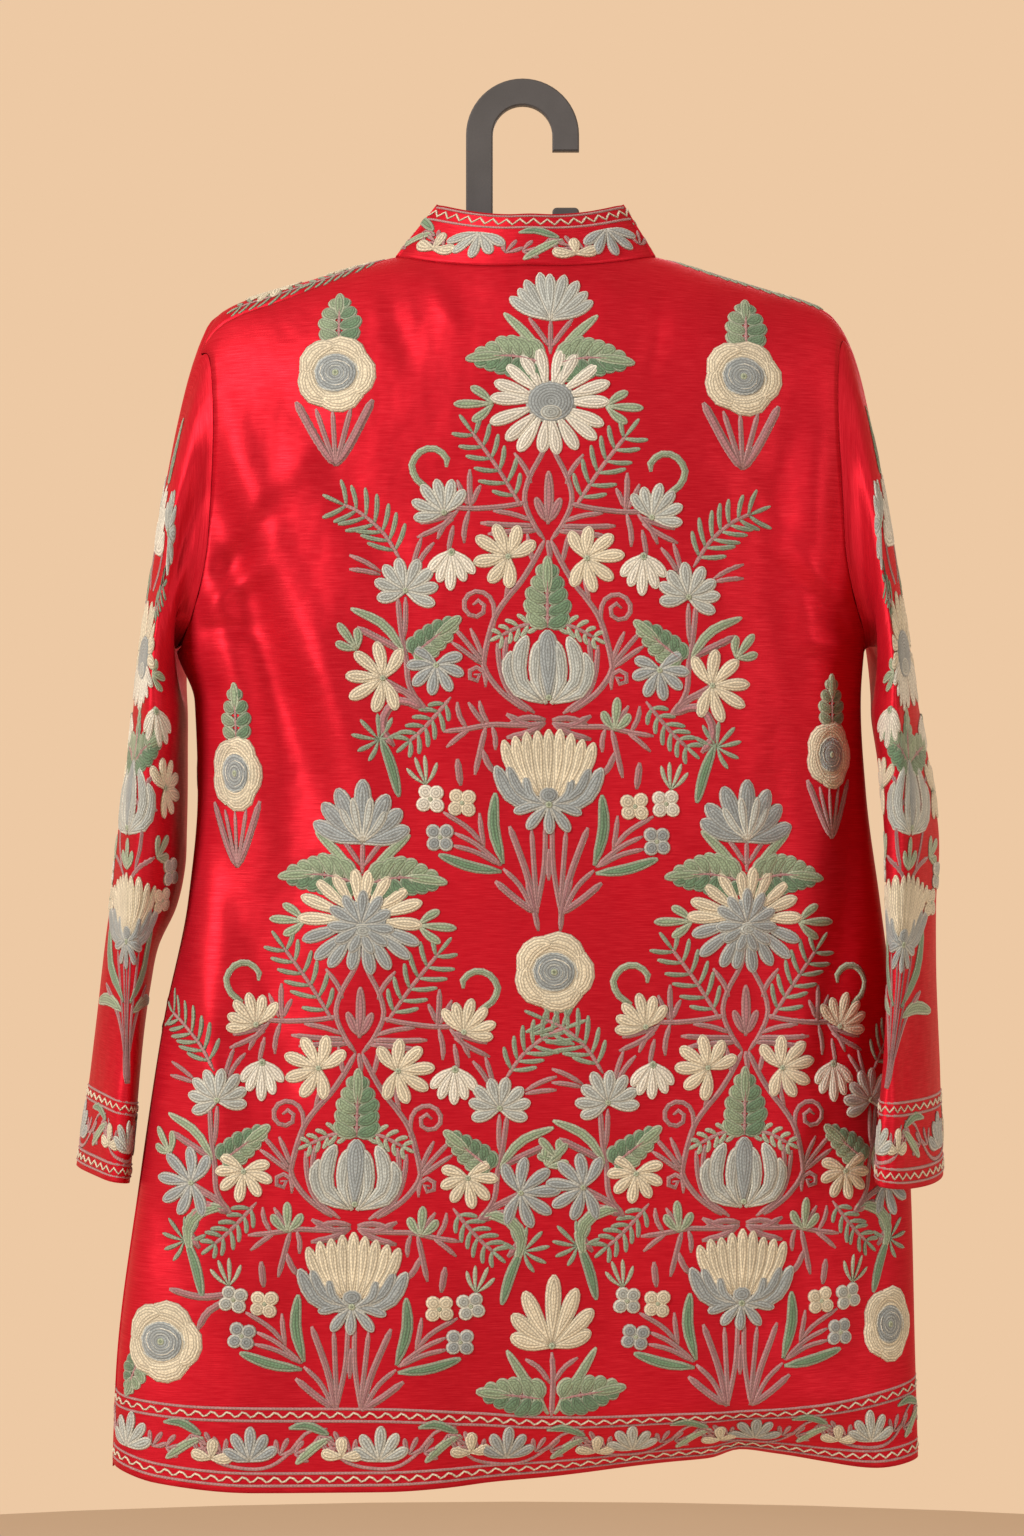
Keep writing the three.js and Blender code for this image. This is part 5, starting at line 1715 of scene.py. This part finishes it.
PLACKET_ENDS = (HEM_LEVEL + 62, -190)
PLACKET_MIDDLE = 19.9


def front_chart(work, side):
    """A front: two trees one above the other, roses at its sides and sprigs along the shoulder seam."""
    shell = work.surface
    tree(work, Spot(side * 128, -530, 0, side, 0.98, 0.953), late=True)
    tree(work, Spot(side * 108, -232, 0, side, 0.78, 0.8))
    rose(work, Spot(side * 243, -795, 0, side, 0.8))
    rose_sprig(work, Spot(side * 222, -437, 0, side, 0.66))
    for start, end, out in ((92, 140, 7), (138, 190, 9)):
        knots = [(side * s, shoulder_top(side * s) - out) for s in np.linspace(start, end, 4)]
        fern(work, FLAT, knots, 7, 9)
    for place in (112, 164):
        spot = Spot(side * place, shoulder_top(side * place) - 30, 0, side)
        open_flower(work, spot, 7, 80, 23, 4.2, "cream")
    opening = side * (FRONT_GAP_HEM + EDGE_MARGIN + 2)
    edge = shell.edges(HEM_LEVEL + BORDER_MIDDLE)[1 if side > 0 else 0] - side * BORDER_MARGIN
    hem_border(work, shell, min(opening, edge), max(opening, edge))
    low, high = PLACKET_ENDS
    column = np.linspace(low, high, 90)
    for off in (-BAND_HALF, BAND_HALF):
        work.ribbon(np.stack([np.full_like(column, side * (PLACKET_MIDDLE + off)), column], -1), 1.1, "mauve")
    column = np.linspace(low, high, round((high - low) / ZIGZAG_WAVE * 4) + 1)
    wave = WAVE_HEIGHT * np.sin(2 * math.pi * column / ZIGZAG_WAVE)
    work.ribbon(np.stack([side * (PLACKET_MIDDLE + wave), column], -1), 1.15, "white", LEAF_LEVEL)


def shoulder_top(x):
    """Height on the front's cloth of the shoulder seam."""
    angle = top_angle("front", np.array([x]))
    over = np.interp(-angle, -GARMENT.front.roll_angles, GARMENT.front.roll_lengths)
    return float((roll_start(np.array([x])) + over)[0])


# Stems on one side of the sleeve's spray, from its root: half width, then their points outwards.
SPRAY_STEMS = (
    (2.4, (2, 0), (8, 40), (17, 84)),
    (2.0, (1, 0), (3, 42), (6, 80)),
    (2.8, (4, 18), (16, 44), (30, 62)),
    (2.0, (2, 128), (14, 140), (26, 146)),
    (2.0, (10, 138), (15, 152), (18, 166)),
    (2.0, (2, 190), (16, 178), (30, 176)),
    (2.0, (16, 178), (20, 190), (30, 200)),
    (2.0, (2, 226), (13, 214), (24, 208)),
    (2.0, (3, 300), (12, 312), (20, 326)),
)


def sleeve_chart(work):
    """A sleeve: a long spray from the cuff to the shoulder, leaning round the arm, and the cuff's border."""
    tube = work.surface
    end = tube.down[-1]
    spot = Spot(66, -408, -6.0, wide=1.35)
    for side in (-1, 1):
        half = spot.inside(0, 0, 0, side)
        for wide, *knots in SPRAY_STEMS:
            stem(work, half, wide, *knots)
        blade(work, half, 4.2, "dark_leaf", (6, 52), (24, 72), (29, 100))
        blade(work, half, 4.0, "leaf", (10, 46), (26, 52), (42, 50))
        blossom(work, half.inside(35, 118), "cream")
        blossom(work, half.inside(44, 136), "grey")
        trefoil(work, half.inside(28, 146, 50), 20)
        open_flower(work, half.inside(38, 190, 70), 7, 110, 21, 4.3, "cream")
        serrated_leaf(work, half.inside(4, 206, 62), 40, 10)
        bell(work, half.inside(33, 240))
        trefoil(work, half.inside(30, 262, 80), 20)
        fern(work, half, [(8, 290), (24, 300), (42, 318)], 6, 10)
        open_flower(work, half.inside(34, 338, 30), 7, 100, 19, 4.2, "grey")
    stem(work, spot, 2.2, (0, 0), (0, 40), (0, 78))
    lotus(work, spot.inside(0, 88, size=0.92))
    trefoil(work, spot.inside(0, 138), 20, 3.4)
    tulip(work, spot.inside(0, 160))
    serrated_leaf(work, spot.inside(0, 208), 34, 11)
    daisy(work, spot.inside(0, 268, size=0.82), "cream")
    fan(work, spot.inside(0, 318), 7, 60, 32, 4.6, "white")
    serrated_leaf(work, spot.inside(0, 352), 28, 10)
    half_round = tube.around[-1] / 2 - 1.5
    for middle in (9.5, 49.0):
        zigzag_band(work, even_course(middle - end), -half_round, half_round)
    vine_band(work, even_course(29.3 - end), -half_round, half_round, tall=VINE_TALL)


def collar_chart(work):
    """The stand collar: a zigzag band along its top and the border's vine with hanging flowers."""
    reach = work.surface.run[-1] - 5
    zigzag_band(work, even_course(32.0), -reach, reach)
    vine_band(work, even_course(13.5), -reach, reach, tall=0.82, bells=True, first=0.12)


def inside_collar(side, height):
    """Says whether a shape fits on the collar."""
    collar = GARMENT.collar
    return bool(np.all((np.abs(side) < collar.run[-1] - 1.5) & (height > 0.8) & (height < collar.tall - 0.8)))


def anywhere(side, height):
    """Says that every shape fits, as on a sleeve."""
    return True


def stitch(name, surface, fits, chart, *side):
    """Makes the embroidery of one surface by its chart."""
    work = Stitching(surface, fits, f"{SEED} {name}")
    chart(work, *side)
    work.make(name)


# ---------------------------------------------------------------- operators
class JACKET_OT_embroidery(bpy.types.Operator):
    """Stitches the embroidery of the panels, the sleeves and the collar"""

    bl_idname = "jacket.embroidery"
    bl_label = "Embroidery"

    def execute(self, context):
        back, front = GARMENT.back, GARMENT.front
        stitch("back_embroidery", back, inside_panel(back, 0), back_chart)
        for name, side in SIDES:
            stitch(f"front_embroidery_{name}", front, inside_panel(front, side), front_chart, side)
            stitch(f"sleeve_embroidery_{name}", GARMENT.sleeves[name], anywhere, sleeve_chart)
        stitch("collar_embroidery", GARMENT.collar, inside_collar, collar_chart)
        return {"FINISHED"}


class JACKET_OT_back(bpy.types.Operator):
    """Makes the back of the jacket"""

    bl_idname = "jacket.back"
    bl_label = "Back"

    def execute(self, context):
        sizes = settings().sizes
        surface = panel_points(GARMENT.back, 0, spread_rows(sizes.rows), sizes.columns)
        cloth_piece("back_cloth", "back_panel", surface, lambda p: (0, -1, 0), (0.62, 0.80), ["hanger_arm"])
        return {"FINISHED"}


class JACKET_OT_fronts(bpy.types.Operator):
    """Makes the two fronts of the jacket"""

    bl_idname = "jacket.fronts"
    bl_label = "Fronts"

    def execute(self, context):
        rows, columns = spread_rows(settings().sizes.rows * 4 // 5), settings().sizes.columns // 2
        for name, side in SIDES:
            surface = panel_points(GARMENT.front, side, rows, columns)
            names = f"front_cloth_{name}", f"front_panel_{name}"
            cloth_piece(*names, surface, lambda p: (0, 1, 0), (0.32, 0.80), ["hanger_arm"])
        return {"FINISHED"}


class JACKET_OT_sleeves(bpy.types.Operator):
    """Makes the two sleeves of the jacket"""

    bl_idname = "jacket.sleeves"
    bl_label = "Sleeves"

    def execute(self, context):
        for name, tube in GARMENT.sleeves.items():
            turn, ring = np.meshgrid(
                np.linspace(0, 1, SLEEVE_CELLS[0]), np.linspace(0, tube.last, SLEEVE_CELLS[1])
            )
            points, _ = tube.place(turn, ring)
            points[:, -1] = points[:, 0]
            up = -np.interp(ring, np.arange(tube.last + 1), tube.down)
            surface = points, turn * tube.around.mean(), up
            names = f"sleeve_cloth_{name}", f"sleeve_{name}"
            cloth_piece(*names, surface, tube.outwards, (0.44, 0.58), ["back_cloth"], wrap=True)
        return {"FINISHED"}


def from_neck(point):
    """Level direction from the neck's middle to a point of the collar."""
    return unit(np.array([point[0] - NECK_CENTRE, point[1], 0.0]))


class JACKET_OT_collar(bpy.types.Operator):
    """Makes the stand collar"""

    bl_idname = "jacket.collar"
    bl_label = "Collar"

    def execute(self, context):
        collar = GARMENT.collar
        last = collar.grid.shape[1] - 1
        column, row = np.meshgrid(
            np.linspace(0, last, COLLAR_CELLS[0]), np.linspace(0, COLLAR_ROWS, COLLAR_CELLS[1])
        )
        points, _ = collar.place(column, row)
        across = np.interp(column, np.arange(last + 1), collar.run)
        surface = points, across, row / COLLAR_ROWS * collar.tall
        cloth_piece("collar_cloth", "stand_collar", surface, from_neck, (0.40, 0.045), ["back_cloth"])
        return {"FINISHED"}


class JACKET_OT_hanger(bpy.types.Operator):
    """Gives the hanger its moulded plastic"""

    bl_idname = "jacket.hanger"
    bl_label = "Hanger"

    def execute(self, context):
        for name in ("hanger_hook", "hanger_arm"):
            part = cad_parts[name]
            part.data.materials.clear()
            part.data.materials.append(material_of(plastic_material))
        return {"FINISHED"}


CAMERA_PLACE = (-0.0069, -2.300, -0.4336)
CAMERA_LENS = 82.29
FLOOR_LEVEL = -1.75
FLOOR_RADIUS = 4.0


class JACKET_OT_stage(bpy.types.Operator):
    """Makes the floor, the lights and the camera"""

    bl_idname = "jacket.stage"
    bl_label = "Stage"

    def execute(self, context):
        # Plain sRGB keeps the saturated red of the silk, which a film-like curve would fade.
        bpy.context.scene.view_settings.view_transform = "Standard"
        make_camera()
        make_floor()
        make_lights()
        return {"FINISHED"}


def make_camera():
    data = bpy.data.cameras.new("camera")
    data.lens = CAMERA_LENS
    data.sensor_width = 36
    camera = link("camera", data)
    camera.location = CAMERA_PLACE
    camera.rotation_euler = (math.pi / 2, 0, 0)
    bpy.context.scene.camera = camera


def make_floor():
    disc = bmesh.new()
    bmesh.ops.create_circle(disc, cap_ends=True, segments=96, radius=FLOOR_RADIUS)
    bmesh.ops.translate(disc, verts=disc.verts, vec=(0, 0, FLOOR_LEVEL))
    mesh = bpy.data.meshes.new("floor")
    disc.to_mesh(mesh)
    disc.free()
    mesh.materials.append(material_of(floor_material))
    link("floor", mesh)


# Name, place, what it points at, width, height, power in watts and colour of each soft light.
LIGHTS = (
    ("key", (-2.3, -2.2, 1.1), (0.0, 0.0, -0.45), 0.9, 1.8, 136, "#fff6ee"),
    ("fill", (2.6, -1.9, 0.3), (0.0, 0.0, -0.5), 1.0, 2.0, 38, "#fff6ee"),
    ("behind", (0.6, 2.8, 1.2), (0.0, 0.0, -0.5), 2.4, 2.0, 30, "#eef2ff"),
)


def make_lights():
    for name, place, target, width, height, power, tint in LIGHTS:
        data = bpy.data.lights.new(name, "AREA")
        data.shape = "RECTANGLE"
        data.size, data.size_y = width, height
        data.energy = power
        data.color = linear(tint)
        lamp = link(name, data)
        lamp.location = place
        lamp.rotation_euler = (Vector(target) - Vector(place)).to_track_quat("-Z", "Y").to_euler()
    world = bpy.data.worlds.new("surroundings")
    bpy.context.scene.world = world
    world.use_nodes = True
    tree = world.node_tree
    background = tree.nodes["Background"]
    background.inputs["Color"].default_value = rgba(settings().colours.backdrop)
    # The surroundings are dimmer on the camera's side, so that the lamps can model the folds.
    way = node(tree, "ShaderNodeTexCoord", None, "Object")
    depth = node(tree, "ShaderNodeSeparateXYZ", None, 1, Vector=way)
    fill(tree, background, {"Strength": ranged(tree, depth, 0.4, 1.0, -0.6, 0.7)})


class JACKET_PT_panel(bpy.types.Panel):
    """Lists the jacket's operators and settings"""

    bl_label = "Embroidered Jacket"
    bl_idname = "JACKET_PT_panel"
    bl_space_type = "VIEW_3D"
    bl_region_type = "UI"
    bl_category = "Jacket"

    def draw(self, context):
        for group in (settings().sizes, settings().colours):
            for name in type(group).__annotations__:
                self.layout.prop(group, name)
        for operator in OPERATORS:
            self.layout.operator(operator.bl_idname)


OPERATORS = (
    JACKET_OT_stage,
    JACKET_OT_hanger,
    JACKET_OT_embroidery,
    JACKET_OT_back,
    JACKET_OT_fronts,
    JACKET_OT_sleeves,
    JACKET_OT_collar,
)
CLASSES = (JacketSizes, JacketColours, JacketSettings, *OPERATORS, JACKET_PT_panel)


def register():
    for made in CLASSES:
        bpy.utils.register_class(made)
    bpy.types.Scene.embroidered_jacket = PointerProperty(type=JacketSettings)


def unregister():
    del bpy.types.Scene.embroidered_jacket
    for made in reversed(CLASSES):
        bpy.utils.unregister_class(made)


def main():
    register()
    for operator in OPERATORS:
        group, name = operator.bl_idname.split(".")
        getattr(getattr(bpy.ops, group), name)()


if __name__ == "__main__":
    main()
